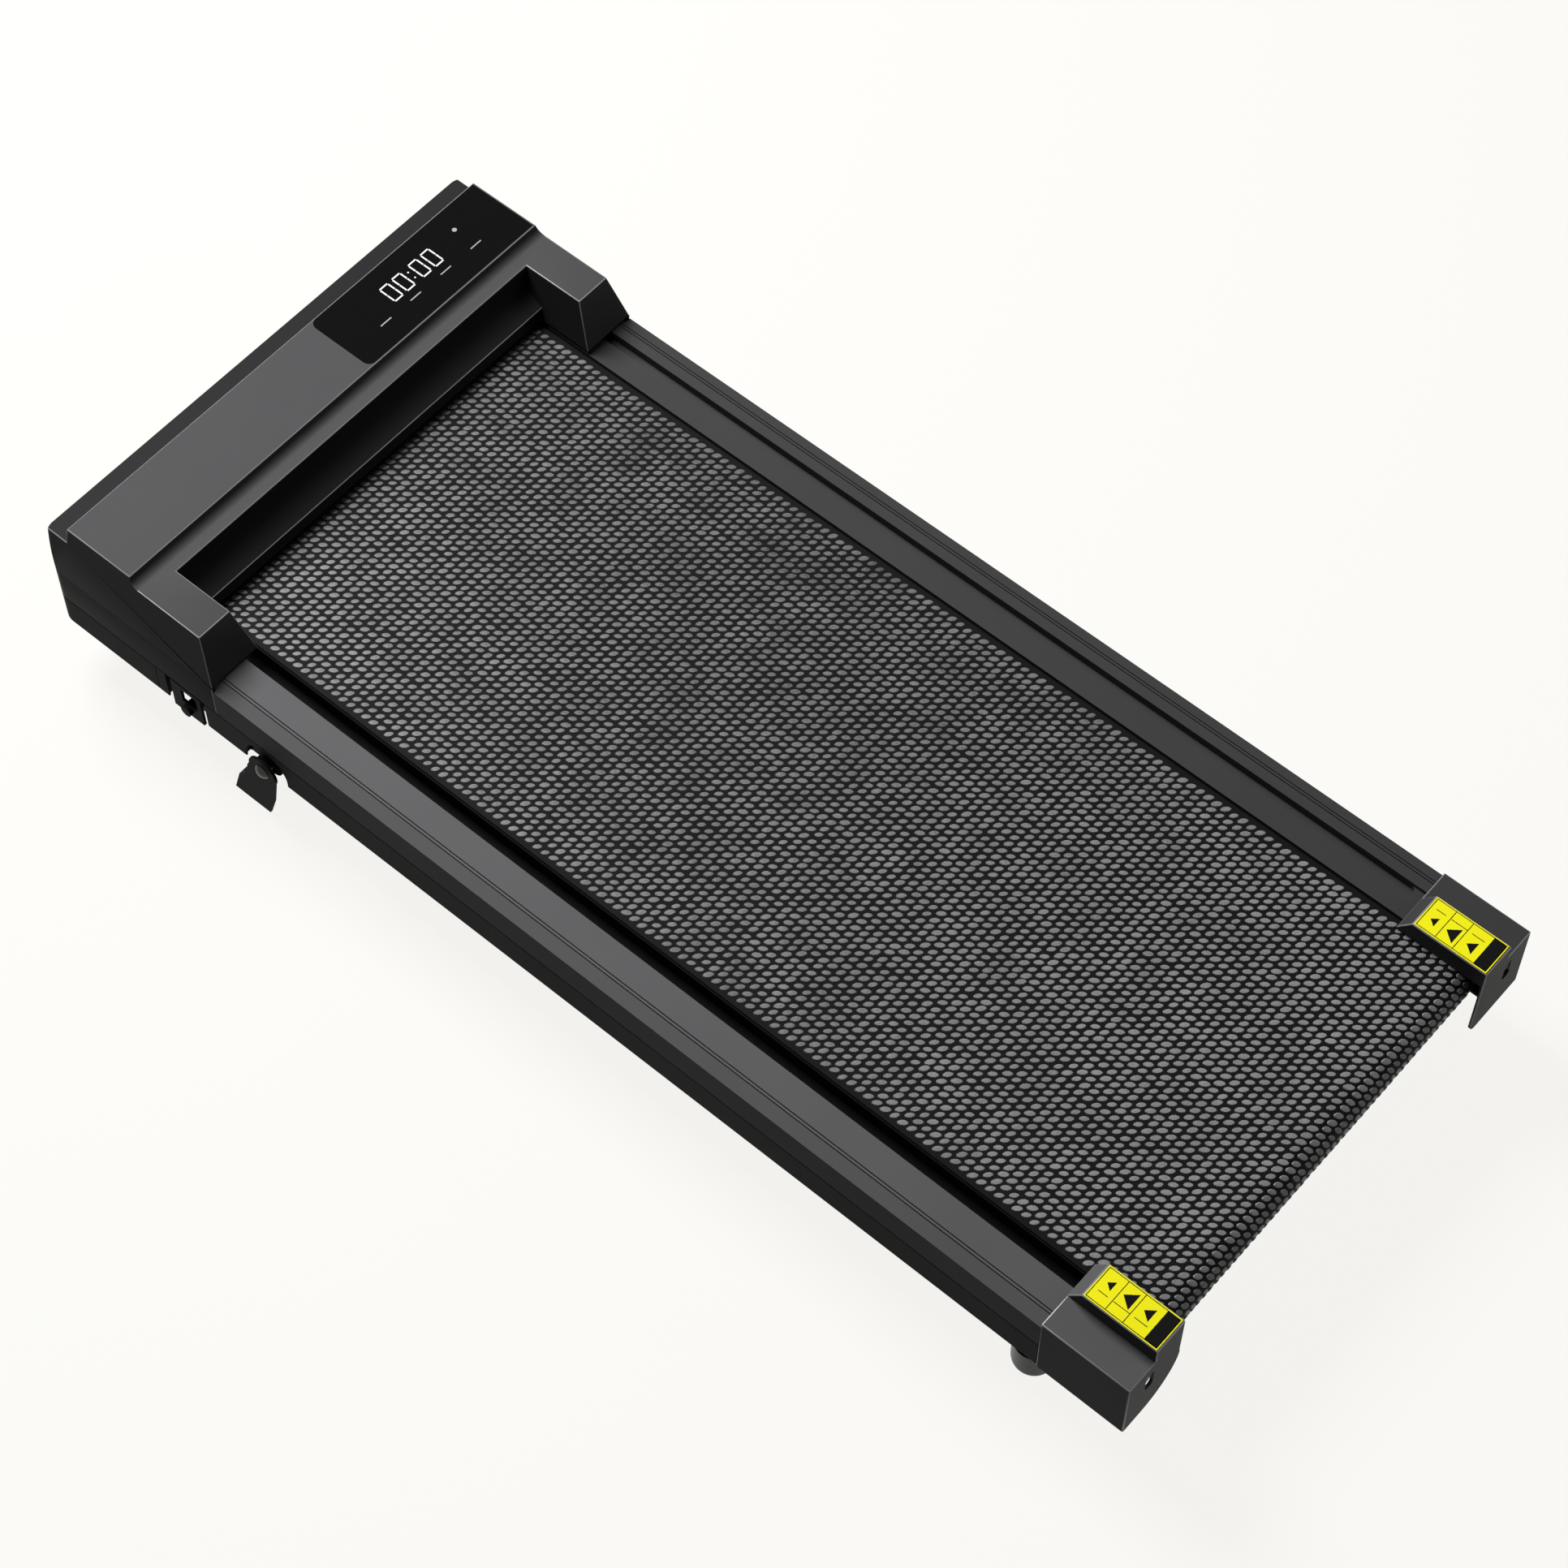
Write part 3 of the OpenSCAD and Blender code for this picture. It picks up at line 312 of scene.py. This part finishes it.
def addPrism(bm, outline, low, high):
    # a flat outline in plan, raised between two heights
    floor = [bm.verts.new((x, y, low)) for x, y in outline]
    roof = [bm.verts.new((x, y, high)) for x, y in outline]
    bm.faces.new(list(reversed(floor)))
    bm.faces.new(roof)
    count = len(outline)
    for i in range(count):
        bm.faces.new((floor[i], floor[(i + 1) % count], roof[(i + 1) % count], roof[i]))


bodyOf = {node: body for body, nodes in frame["record"]["behaviour"]["bodies"].items()
          for node in nodes}


# which corners of a part get the painted highlight, a lighter colour on their bevels: outer and
# longer ones. The display's pocket, the openings in the front wall, the hood's front corners and
# everything underneath stay crisp.
highlightEdgeSizes = {
    "shortest": 9 * mm, "angle": 0.56, "downward": -0.3,
    "pocketX": 266 * mm, "pocketRear": 519 * mm, "pocketFront": 597 * mm, "pocketLow": 190 * mm,
    "panelRear": 600 * mm, "panelTop": 150 * mm,
    "cornerX": 250 * mm, "cornerRear": 598 * mm, "cornerTop": 184 * mm,
}
# painted shade on the hood: the lip behind the display and the walls round the belt's opening take
# a darker copy of the hood's plastic
paintedShadeSizes = {
    "lipRear": 598.5 * mm, "lipLow": 183 * mm,
    "wallX": 236 * mm, "wallFront": 517 * mm, "wallTop": 193 * mm,
}


def takesHighlight(line):
    r = highlightEdgeSizes
    if len(line.link_faces) != 2 or not line.is_convex or line.calc_length() < r["shortest"]:
        return False
    point = (line.verts[0].co + line.verts[1].co) / 2
    pocket = (abs(point.x) < r["pocketX"] and r["pocketRear"] < point.y < r["pocketFront"]
              and point.z > r["pocketLow"])
    panel = point.y > r["panelRear"] and point.z < r["panelTop"]
    corner = (abs(point.x) > r["cornerX"] and point.y > r["cornerRear"]
              and point.z < r["cornerTop"])
    under = min(face.normal.z for face in line.link_faces) < r["downward"]
    return line.calc_face_angle() > r["angle"] and not (pocket or panel or corner or under)


def inPaintedShade(face):
    n = paintedShadeSizes
    point = face.calc_center_median()
    lip = point.y > n["lipRear"] and point.z > n["lipLow"]
    wall = abs(point.x) < n["wallX"] and point.y < n["wallFront"] and point.z < n["wallTop"]
    return lip or wall


# weld is a distance, the others are angles
dressLimits = {"weld": 2e-6, "flat": math.radians(0.6), "bevel": math.radians(32), "round": 0.35}


def dress(node, finish, edge=0.8, steps=2, highlightFinish=None, slot=None):
    # a bevelled copy of a rigid part, whose edges catch the light; where a highlight finish is
    # given, the chosen edges also get a painted highlight
    bm = bmesh.new()
    bm.from_mesh(frame["nodes"][node].data)
    bmesh.ops.remove_doubles(bm, verts=bm.verts, dist=dressLimits["weld"])
    bmesh.ops.dissolve_limit(bm, angle_limit=dressLimits["flat"], verts=bm.verts, edges=bm.edges)
    for face in bm.faces:
        face.smooth = True
    if highlightFinish:
        bm.normal_update()
        weight = bm.edges.layers.float.new("bevel_weight_edge")
        for line in bm.edges:
            line[weight] = 1.0 if takesHighlight(line) else 0.0
    # the hood's lip and opening walls take the darker colour of painted shade, in slot 2
    if node == "hood_cover":
        for face in bm.faces:
            face.material_index = 2 if inPaintedShade(face) else 0
    mesh = meshOf(node + "_dressed", bm)
    for name in (finish, highlightFinish, "hood_inset" if node == "hood_cover" else None):
        if name:
            mesh.materials.append(finishes[name])
    shape = newObject(node + "_shape", mesh)
    bevel = shape.modifiers.new("edge", "BEVEL")
    bevel.width, bevel.segments = edge * mm, steps
    bevel.limit_method = "WEIGHT" if highlightFinish else "ANGLE"
    bevel.angle_limit = dressLimits["bevel"]
    # the bevels of the chosen edges take the lighter colour of slot 1, a painted highlight
    bevel.material = 1 if highlightFinish else -1
    bevel.use_clamp_overlap = not highlightFinish
    if not highlightFinish:
        flat = shape.modifiers.new("flat", "WEIGHTED_NORMAL")
        flat.weight, flat.keep_sharp = 100, False
    done = evaluated(shape)
    if highlightFinish:
        # each flat face keeps its own shade, only round corners are blended
        bm = bmesh.new()
        bm.from_mesh(done)
        for line in bm.edges:
            line.smooth = (len(line.link_faces) == 2
                           and line.calc_face_angle() < dressLimits["round"])
        bm.to_mesh(done)
        bm.free()
    bpy.data.objects.remove(shape)
    settle(node + "_dressed", done, finish, bodyOf[node], slot, (node,))


# each outer part's finish and bevel in mm; then, where it has them, the finish of the painted
# highlight on its outer corners and its material slot
dressed = {
    "hood_cover": ("hood_plastic", 0.8, "worn_edge"), "left_foot_rail": ("rail_plastic", 0.3),
    # the far rail and far end cap take the darker copy of the rail plastic as painted shade
    "right_foot_rail": ("far_rail_plastic", 0.5, None, "rail_plastic"),
    "left_lower_skirt": ("dark_plastic", 0.4), "right_lower_skirt": ("dark_plastic", 0.4),
    "left_end_cap": ("rail_plastic", 1.1, "worn_edge"),
    "right_end_cap": ("far_rail_plastic", 1.1, "worn_edge", "rail_plastic"),
    "base_pan": ("dark_plastic", 0.6),
    "left_wheel_bracket": ("dark_plastic", 0.5), "right_wheel_bracket": ("dark_plastic", 0.5),
    "left_incline_foot": ("painted_steel", 0.5), "right_incline_foot": ("painted_steel", 0.5),
    "left_transport_wheel": ("black_rubber", 0.4), "right_transport_wheel": ("black_rubber", 0.4),
    "left_rear_foot": ("black_rubber", 0.5), "right_rear_foot": ("black_rubber", 0.5),
    "rear_skid_blocks": ("black_rubber", 0.8),
}
for node, (finish, edge, *more) in dressed.items():
    highlightFinish, slot = (more + [None, None])[:2]
    dress(node, finish, edge, 2, highlightFinish, slot)
print("outer parts dressed:", len(dressed))

# parts that keep their own mesh and only get a finish
carried = {
    "zinc_steel": ["belt_adjusters", "motor_saddle"],
    "black_zinc": ["left_foot_pin", "right_foot_pin"],
    "bright_steel": ["front_roller_tube", "rear_roller_tube", "front_roller_axle",
                     "rear_roller_axle", "motor_shaft"],
    "cast_alloy": ["motor_pulley", "motor_fan", "controller_heatsink"],
    "painted_steel": ["left_side_beam", "right_side_beam", "left_foot_lug", "right_foot_lug",
                      "motor_plate", "motor_can"] + ["cross_tube_%d" % i for i in range(1, 6)],
    "deck_board": ["running_deck"],
    "board_green": ["display_board", "controller_board"],
    "black_rubber": ["deck_cushions", "drive_belt", "power_inlet"],
    "dark_plastic": ["front_roller_pulley", "power_switch_frame", "power_switch_rocker",
                     "left_wheel_axle", "right_wheel_axle"],
}
for finish, nodes in carried.items():
    for node in nodes:
        for place in frame["nodes"][node].material_slots:
            place.material = finishes[finish]
print("inner parts finished")


# dark shadow lines in the rails' fine grooves
grooveSizes = {
    "outer": 268 * mm, "pitch": 3 * mm, "width": 0.9 * mm, "margin": 0.03,
    "top": 141.5 * mm, "bottom": 141.25 * mm, "rearY": -533 * mm, "frontY": 412 * mm,
}


def makeGrooveLines():
    g = grooveSizes
    lines = bmesh.new()
    for side in (-1, 1):
        for k in (0, 1):
            edges = sorted(side * (g["outer"] - k * g["pitch"] - part * g["width"])
                           for part in (g["margin"], 1 - g["margin"]))
            addBox(lines, (edges[0], g["rearY"], g["bottom"]), (edges[1], g["frontY"], g["top"]))
    bmesh.ops.recalc_face_normals(lines, faces=lines.faces)
    keep("groove_lines", lines, "deck_board", slot="rail_plastic")


makeGrooveLines()


# dark strips of painted shade that close the slits beside the deck, over the beams' inner edges
shadeStripSizes = {
    "deck": 220.2 * mm, "leftWall": -236.8 * mm, "rightEdge": 243 * mm, "rearY": -545 * mm,
    "frontY": 462 * mm, "bottom": 118 * mm, "top": 120 * mm,
}


def makeShadeStrips():
    s = shadeStripSizes
    shadeSheet = bmesh.new()
    for x0, x1 in ((s["leftWall"], -s["deck"]), (s["deck"], s["rightEdge"])):
        addBox(shadeSheet, (x0, s["rearY"], s["bottom"]), (x1, s["frontY"], s["top"]))
    bmesh.ops.recalc_face_normals(shadeSheet, faces=shadeSheet.faces)
    keep("edge_seals", shadeSheet, "deck_board", slot="black_rubber")


makeShadeStrips()
print("groove lines and shade_strips made")


# running belt: a plain loop with raised pads
beltSizes = {
    "halfWidth": 218 * mm, "rearY": -590 * mm, "frontY": 500 * mm, "rollerZ": 115.7 * mm,
    "outer": 22.5 * mm, "inner": 21.3 * mm, "arcSteps": 40,
    # how far the pads stop short of the front roller, above and below
    "topStop": 32 * mm, "lowStop": 10 * mm,
}
padSizes = {
    "pitchX": 8.4 * mm, "pitchY": 9.4 * mm, "length": 10.6 * mm, "width": 6.0 * mm,
    "lean": -49.0, "points": 10, "seed": 4, "swing": 11.0, "stray": 0.6 * mm,
    "height": 0.8 * mm, "rimHeight": 0.86, "rimGrow": 0.84, "sunk": 0.1 * mm, "pinch": 1.2,
    "smallest": 0.84, "largest": 1.04,
}


def beltLoop(radius):
    b = beltSizes
    points = []
    for i in range(b["arcSteps"] + 1):
        a = math.pi * i / b["arcSteps"]
        points.append((b["rearY"] - radius * math.sin(a), b["rollerZ"] + radius * math.cos(a)))
    for i in range(b["arcSteps"] + 1):
        a = math.pi * i / b["arcSteps"]
        points.append((b["frontY"] + radius * math.sin(a), b["rollerZ"] - radius * math.cos(a)))
    return points


def makeBelt():
    bm = bmesh.new()
    rings = []
    for radius in (beltSizes["outer"], beltSizes["inner"]):
        for side in (-1, 1):
            rings.append([bm.verts.new((side * beltSizes["halfWidth"], y, z))
                          for y, z in beltLoop(radius)])
    count = len(rings[0])
    for a, b in ((0, 1), (1, 3), (3, 2), (2, 0)):
        for i in range(count):
            j = (i + 1) % count
            bm.faces.new((rings[a][i], rings[b][i], rings[b][j], rings[a][j]))
    bmesh.ops.recalc_face_normals(bm, faces=bm.faces)
    keep("belt_body", bm, "belt_rubber", stands=("running_belt",))


def padShape():
    # a rounded lens with a slightly domed top
    p = padSizes
    bm = bmesh.new()
    lean = math.radians(p["lean"])
    count = p["points"]

    def ring(grow, height):
        verts = []
        for i in range(count):
            a = 2 * math.pi * i / count
            u = math.cos(a) * p["length"] / 2 * grow
            v = math.copysign(abs(math.sin(a)) ** p["pinch"], math.sin(a)) * p["width"] / 2 * grow
            verts.append(bm.verts.new((u * math.cos(lean) - v * math.sin(lean),
                                       u * math.sin(lean) + v * math.cos(lean), height)))
        return verts

    foot, rim = ring(1.0, -p["sunk"]), ring(p["rimGrow"], p["height"] * p["rimHeight"])
    top = bm.verts.new((0, 0, p["height"]))
    bm.faces.new(list(reversed(foot)))
    for i in range(count):
        j = (i + 1) % count
        bm.faces.new((foot[i], foot[j], rim[j], rim[i]))
        bm.faces.new((rim[i], rim[j], top))
    return newObject("pad", meshOf("pad", bm))


def treadTree():
    tree, g, get = newTree("beltTread", (
        ("Pad", "Object"), ("Finish", "Material"), ("Columns", "Int"), ("Rows", "Int"),
        ("Pitch X", "Float"), ("Pitch Y", "Float"), ("Start", "Float"), ("Rear Y", "Float"),
        ("Roller Z", "Float"), ("Radius", "Float"), ("Seed", "Int"), ("Swing", "Float"),
        ("Stray", "Float")))
    columns, rows, radius = get("Columns"), get("Rows"), get("Radius")
    sheet = g.node("GeometryNodeMeshGrid", None, {
        "Size X": (columns - 1) * get("Pitch X"), "Size Y": (rows - 1) * get("Pitch Y"),
        "Vertices X": columns, "Vertices Y": rows})
    spot = g.node("ShaderNodeSeparateXYZ", None, {0: g.out(g.node("GeometryNodeInputPosition"))})
    chance = g.node("FunctionNodeRandomValue", {"data_type": "FLOAT"},
                    {2: padSizes["smallest"], 3: padSizes["largest"], "Seed": get("Seed")})
    swing = g.node("FunctionNodeRandomValue", {"data_type": "FLOAT"},
                   {2: -get("Swing"), 3: get("Swing"), "Seed": get("Seed") + 1})
    stray = g.node("FunctionNodeRandomValue", {"data_type": "FLOAT"},
                   {2: -get("Stray"), 3: get("Stray"), "Seed": get("Seed") + 2})
    across = g.out(spot, 0) + g.out(stray, 1)
    # along is the distance on the loop, zero where the top run meets the rear roller
    along = g.out(spot, 1) + (rows - 1) * get("Pitch Y") * 0.5 + get("Start")
    angle = (-along / radius).above(0.0).below(math.pi)
    run = along.above(0.0) + (-along - radius * math.pi).above(0.0)
    place = g.node("ShaderNodeCombineXYZ", None, {
        0: across, 1: get("Rear Y") + run - radius * angle.sine(),
        2: get("Roller Z") + radius * angle.cosine()})
    turn = g.node("ShaderNodeCombineXYZ", None, {0: angle})
    # the angle is taken before the points are moved on to the loop
    tagged = g.node("GeometryNodeStoreNamedAttribute",
                    {"data_type": "FLOAT_VECTOR", "domain": "POINT"},
                    {"Geometry": g.out(sheet, "Mesh"), "Name": "turn", "Value": g.out(turn)})
    moved = g.node("GeometryNodeSetPosition", None,
                   {"Geometry": g.out(tagged), "Position": g.out(place)})
    held = g.node("GeometryNodeInputNamedAttribute", {"data_type": "FLOAT_VECTOR"},
                  {"Name": "turn"})
    source = g.node("GeometryNodeObjectInfo", None, {"Object": get("Pad")})
    pads = g.node("GeometryNodeInstanceOnPoints", None, {
        "Points": g.out(moved), "Instance": g.out(source, "Geometry"),
        "Rotation": g.out(held), "Scale": g.out(chance, 1)})
    spin = g.node("ShaderNodeCombineXYZ", None, {2: g.out(swing, 1)})
    swung = g.node("GeometryNodeRotateInstances", None,
                   {"Instances": g.out(pads), "Rotation": g.out(spin), "Local Space": True})
    coat(g, swung, get("Finish"))
    return tree


def makeTread():
    b, p = beltSizes, padSizes
    pad, tree = padShape(), treadTree()
    columns = int((2 * b["halfWidth"] - p["length"]) / p["pitchX"]) + 1
    topRun = b["frontY"] - b["topStop"] - b["rearY"]
    lowRun = b["frontY"] - b["lowStop"] - b["rearY"]
    halfWrap = math.pi * b["outer"] * 0.5
    rowsTop = int((topRun + halfWrap) / p["pitchY"])
    rowsLow = int((lowRun + halfWrap) / p["pitchY"])
    startTop = topRun - (rowsTop - 1) * p["pitchY"]
    for name, rows, start in (("tread_upper", rowsTop, startTop),
                              ("tread_lower", rowsLow, startTop - rowsLow * p["pitchY"])):
        mesh = grown(name, bpy.data.meshes.new(name + "_rule"), tree, {
            "Pad": pad, "Finish": finishes["tread_pad"], "Columns": columns, "Rows": rows,
            "Pitch X": p["pitchX"], "Pitch Y": p["pitchY"], "Start": start, "Rear Y": b["rearY"],
            "Roller Z": b["rollerZ"], "Radius": b["outer"], "Seed": p["seed"],
            "Swing": math.radians(p["swing"]), "Stray": p["stray"]})
        for attribute in [a.name for a in mesh.attributes if a.name == "turn"]:
            mesh.attributes.remove(mesh.attributes[attribute])
        settle(name, mesh, "tread_pad", slot="belt_rubber", stands=("running_belt",))
        print(name, "faces:", len(mesh.polygons))
    bpy.data.objects.remove(pad)


makeBelt()
makeTread()
print("belt and tread made")


# display: gloss cover, clock digits and touch marks
displaySizes = {
    "lensDrop": 0.12 * mm, "rowCentre": (147 * mm, 565 * mm), "digitSize": (12 * mm, 22 * mm),
    "digitPitch": 16.5 * mm, "colonGap": 6 * mm, "stroke": 1.6 * mm,
    "markX": [91 * mm, 131 * mm, 172 * mm, 213 * mm], "markY": 544.5 * mm,
    "markSize": (14 * mm, 1.2 * mm), "dot": (213 * mm, 572 * mm), "dotRadius": 2.4 * mm,
    "dotPoints": 16, "sunk": 0.05 * mm, "raise": 0.08 * mm, "segmentGap": 0.35 * mm,
    "segmentCut": 0.6, "colonY": 4.5 * mm, "middle": 2 * mm,
}


def makeDisplay():
    d = displaySizes
    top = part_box("display_lens")[1].z - d["lensDrop"]
    bm = bmesh.new()
    bm.from_mesh(frame["nodes"]["display_lens"].data)
    bmesh.ops.remove_doubles(bm, verts=bm.verts, dist=dressLimits["weld"])
    for vert in bm.verts:
        vert.co.z = min(vert.co.z, top)
    keep("display_cover", bm, "gloss_black", stands=("display_lens",))
    print("display cover at", round(top, 5))

    digits, marks = bmesh.new(), bmesh.new()
    glow = top + d["raise"]
    w, h = d["digitSize"]
    s, gap, cut = d["stroke"], d["segmentGap"], d["stroke"] * d["segmentCut"]

    def bar(x0, y0, x1, y1, part=digits):
        addBox(part, (x0, y0, top - d["sunk"]), (x1, y1, glow))

    def zero(x, y):
        # six of the seven segments, with small gaps between them
        bar(x - w / 2 + cut, y + h / 2 - s, x + w / 2 - cut, y + h / 2)
        bar(x - w / 2 + cut, y - h / 2, x + w / 2 - cut, y - h / 2 + s)
        for side in (-1, 1):
            x0 = x + side * (w / 2 - s / 2) - s / 2
            bar(x0, y + gap, x0 + s, y + h / 2 - s - gap)
            bar(x0, y - h / 2 + s + gap, x0 + s, y - gap)

    cx, cy = d["rowCentre"]
    for side in (-1, 1):
        for k in (0, 1):
            zero(cx + side * (d["colonGap"] / 2 + w / 2 + d["middle"] + k * d["digitPitch"]), cy)
    for side in (-1, 1):
        y = cy + side * d["colonY"]
        bar(cx - s / 2, y - s / 2, cx + s / 2, y + s / 2)
    markW, markH = d["markSize"]
    for x in d["markX"]:
        bar(x - markW / 2, d["markY"] - markH / 2, x + markW / 2, d["markY"] + markH / 2, marks)
    step = 2 * math.pi / d["dotPoints"]
    ring = [(d["dot"][0] + d["dotRadius"] * math.cos(a * step),
             d["dot"][1] + d["dotRadius"] * math.sin(a * step)) for a in range(d["dotPoints"])]
    addPrism(marks, ring, top - d["sunk"], glow)
    for part, name, finish in ((digits, "display_digits", "display_light"),
                               (marks, "display_marks", "display_dim")):
        bmesh.ops.recalc_face_normals(part, faces=part.faces)
        keep(name, part, finish, slot="gloss_black")


makeDisplay()
print("display made")


# marker strips: yellow, with a black border, dividers, bars and arrows
markerSizes = {
    "border": 1.1 * mm, "line": 0.7 * mm, "sunk": 0.05 * mm, "raise": 0.08 * mm,
    "block": 13 * mm, "dividers": [0.36, 0.66],
    # each field's place along the strip, and how far its arrow reaches, in widths
    "arrows": [(0.18, 0.20), (0.51, 0.26), (0.83, 0.15)],
    "arrowBack": 0.6, "arrowTip": 0.7, "arrowShift": 0.12, "barShift": 0.32,
}


def makeMarkers():
    m = markerSizes
    for side, name in ((-1, "left"), (1, "right")):
        node = name + "_marker_strip"
        low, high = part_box(node)
        dress(node, "marker_yellow", 0.1, 1)
        ink = bmesh.new()
        z0, z1 = high.z - m["sunk"], high.z + m["raise"]
        x0, x1 = low.x + m["border"], high.x - m["border"]
        y0, y1 = low.y + m["border"], high.y - m["border"]

        def bar(a, b, c, e):
            addBox(ink, (min(a, c), min(b, e), z0), (max(a, c), max(b, e), z1))

        line = m["line"]
        bar(x0, y0, x1, y0 + line)
        bar(x0, y1 - line, x1, y1)
        bar(x0, y0, x0 + line, y1)
        bar(x1 - line, y0, x1, y1)
        start = y0 + m["block"]
        bar(x0, y0, x1, start)
        span = y1 - start
        for share in m["dividers"]:
            bar(x0, start + share * span, x1, start + share * span + line)
        midX = (x0 + x1) / 2
        width = x1 - x0
        # plain arrowheads and bars in the three fields
        for share, size in m["arrows"]:
            cy = start + share * span
            reach = width * size
            cx = midX - side * width * m["arrowShift"]
            addPrism(ink, [(cx - reach, cy - m["arrowBack"] * reach),
                           (cx + reach, cy - m["arrowBack"] * reach),
                           (cx, cy + m["arrowTip"] * reach)], z0, z1)
            barX = cx + side * width * m["barShift"]
            bar(barX, cy - reach, barX + line, cy + reach)
        bmesh.ops.recalc_face_normals(ink, faces=ink.faces)
        keep(name + "_marker_ink", ink, "marker_ink", slot="marker_yellow")


makeMarkers()
print("markers made")


# small screws under the machine
screwSizes = {
    "head": 4.2 * mm, "taper": 0.7, "height": 1.6 * mm, "sunk": 0.05 * mm, "faces": 12,
    "spots": [(-0.225, 0.54), (0.225, 0.54), (-0.225, 0.59), (0.225, 0.59), (0, 0.515), (0, 0.595)],
}


def screwTree():
    tree, g, get = newTree("screwHeads", (
        ("Spots", "Geometry"), ("Head", "Float"), ("Height", "Float"), ("Finish", "Material")))
    disc = g.node("GeometryNodeMeshCone", None, {
        "Vertices": screwSizes["faces"], "Radius Bottom": get("Head"),
        "Radius Top": get("Head") * screwSizes["taper"], "Depth": get("Height")})
    heads = g.node("GeometryNodeInstanceOnPoints", None, {
        "Points": get("Spots"), "Instance": g.out(disc, "Mesh"), "Rotation": (math.pi, 0, 0)})
    coat(g, heads, get("Finish"))
    return tree


def makeScrews():
    m = screwSizes
    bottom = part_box("base_pan")[0].z + m["sunk"]
    spots = bpy.data.meshes.new("screw_spots")
    spots.from_pydata([(x, y, bottom) for x, y in m["spots"]], [], [])
    mesh = grown("pan_screws", spots, screwTree(), {
        "Head": m["head"], "Height": m["height"], "Finish": finishes["zinc_steel"]})
    settle("pan_screws", mesh, "zinc_steel")


makeScrews()
print("screws made")


# floor, light and camera
studio = {
    "camera": {"azimuth": -49.4, "elevation": 58.0, "lens": 90.0, "distance": 3.518,
               "target": (0.006, -0.015, 0.080), "film": 36.0, "clipEnd": 60.0},
    "floorSize": 40.0, "floorColour": (0.95, 0.945, 0.93, 1), "floorBounce": grey(0.05),
    "floorGlow": 0.93, "glowColour": (0.952, 0.943, 0.914, 1),
    "skyColour": (0.886, 0.877, 0.850, 1), "worldGrey": 0.028,
    # each lamp's place, width and power, all turned to the middle of the machine
    "lamps": [((0.25, 1.9, 2.6), 1.4, 180), ((1.6, -2.4, 1.4), 1.2, 12)],
    "middle": (0, 0, 0.1),
}


def seenRay(g):
    # one for what the camera sees, itself, in gloss or through glass, and zero for other light
    path = g.node("ShaderNodeLightPath")
    return g.out(path, "Is Camera Ray").above(
        g.out(path, "Is Glossy Ray")).above(g.out(path, "Is Transmission Ray"))


def makeStudio():
    bm = bmesh.new()
    half = studio["floorSize"] / 2
    bm.faces.new([bm.verts.new((x, y, 0)) for x, y in
                  ((-half, -half), (half, -half), (half, half), (-half, half))])
    floor = newObject("floor", meshOf("floor", bm))
    material, g = newMaterial("pale_floor")
    tone = g.between(seenRay(g), studio["floorBounce"], studio["floorColour"])
    matt = g.node("ShaderNodeBsdfDiffuse", None, {"Color": tone})
    glow = g.node("ShaderNodeEmission", None, {"Color": studio["glowColour"], "Strength": 1.0})
    share = seenRay(g) * studio["floorGlow"]
    mix = g.node("ShaderNodeMixShader", None, {0: share, 1: g.out(matt), 2: g.out(glow)})
    g.node("ShaderNodeOutputMaterial", None, {"Surface": g.out(mix)})
    floor.data.materials.append(material)

    world = bpy.data.worlds.new("studio")
    bpy.context.scene.world = world
    world.use_nodes = True
    world.node_tree.nodes.clear()
    w = Graph(world.node_tree)
    seen = seenRay(w)
    level = seen + (1 - seen) * studio["worldGrey"]
    sky = w.node("ShaderNodeBackground", None, {"Color": studio["skyColour"], "Strength": level})
    w.node("ShaderNodeOutputWorld", None, {"Surface": w.out(sky)})

    for i, (place, size, power) in enumerate(studio["lamps"]):
        lamp = bpy.data.lights.new("softbox_%d" % i, "AREA")
        lamp.size, lamp.energy = size, power
        holder = newObject(lamp.name, lamp)
        holder.location = place
        aim = Vector(studio["middle"]) - Vector(place)
        holder.rotation_euler = aim.to_track_quat("-Z", "Y").to_euler()

    c = studio["camera"]
    az, el = math.radians(c["azimuth"]), math.radians(c["elevation"])
    back = Vector((math.sin(az) * math.cos(el), -math.cos(az) * math.cos(el), math.sin(el)))
    lens = bpy.data.cameras.new("camera")
    lens.lens, lens.sensor_width, lens.clip_end = c["lens"], c["film"], c["clipEnd"]
    camera = newObject("camera", lens)
    camera.location = Vector(c["target"]) + back * c["distance"]
    camera.rotation_euler = (-back).to_track_quat("-Z", "Y").to_euler()
    bpy.context.scene.camera = camera
    bpy.context.scene.view_settings.view_transform = "Standard"


makeStudio()
print("studio made")
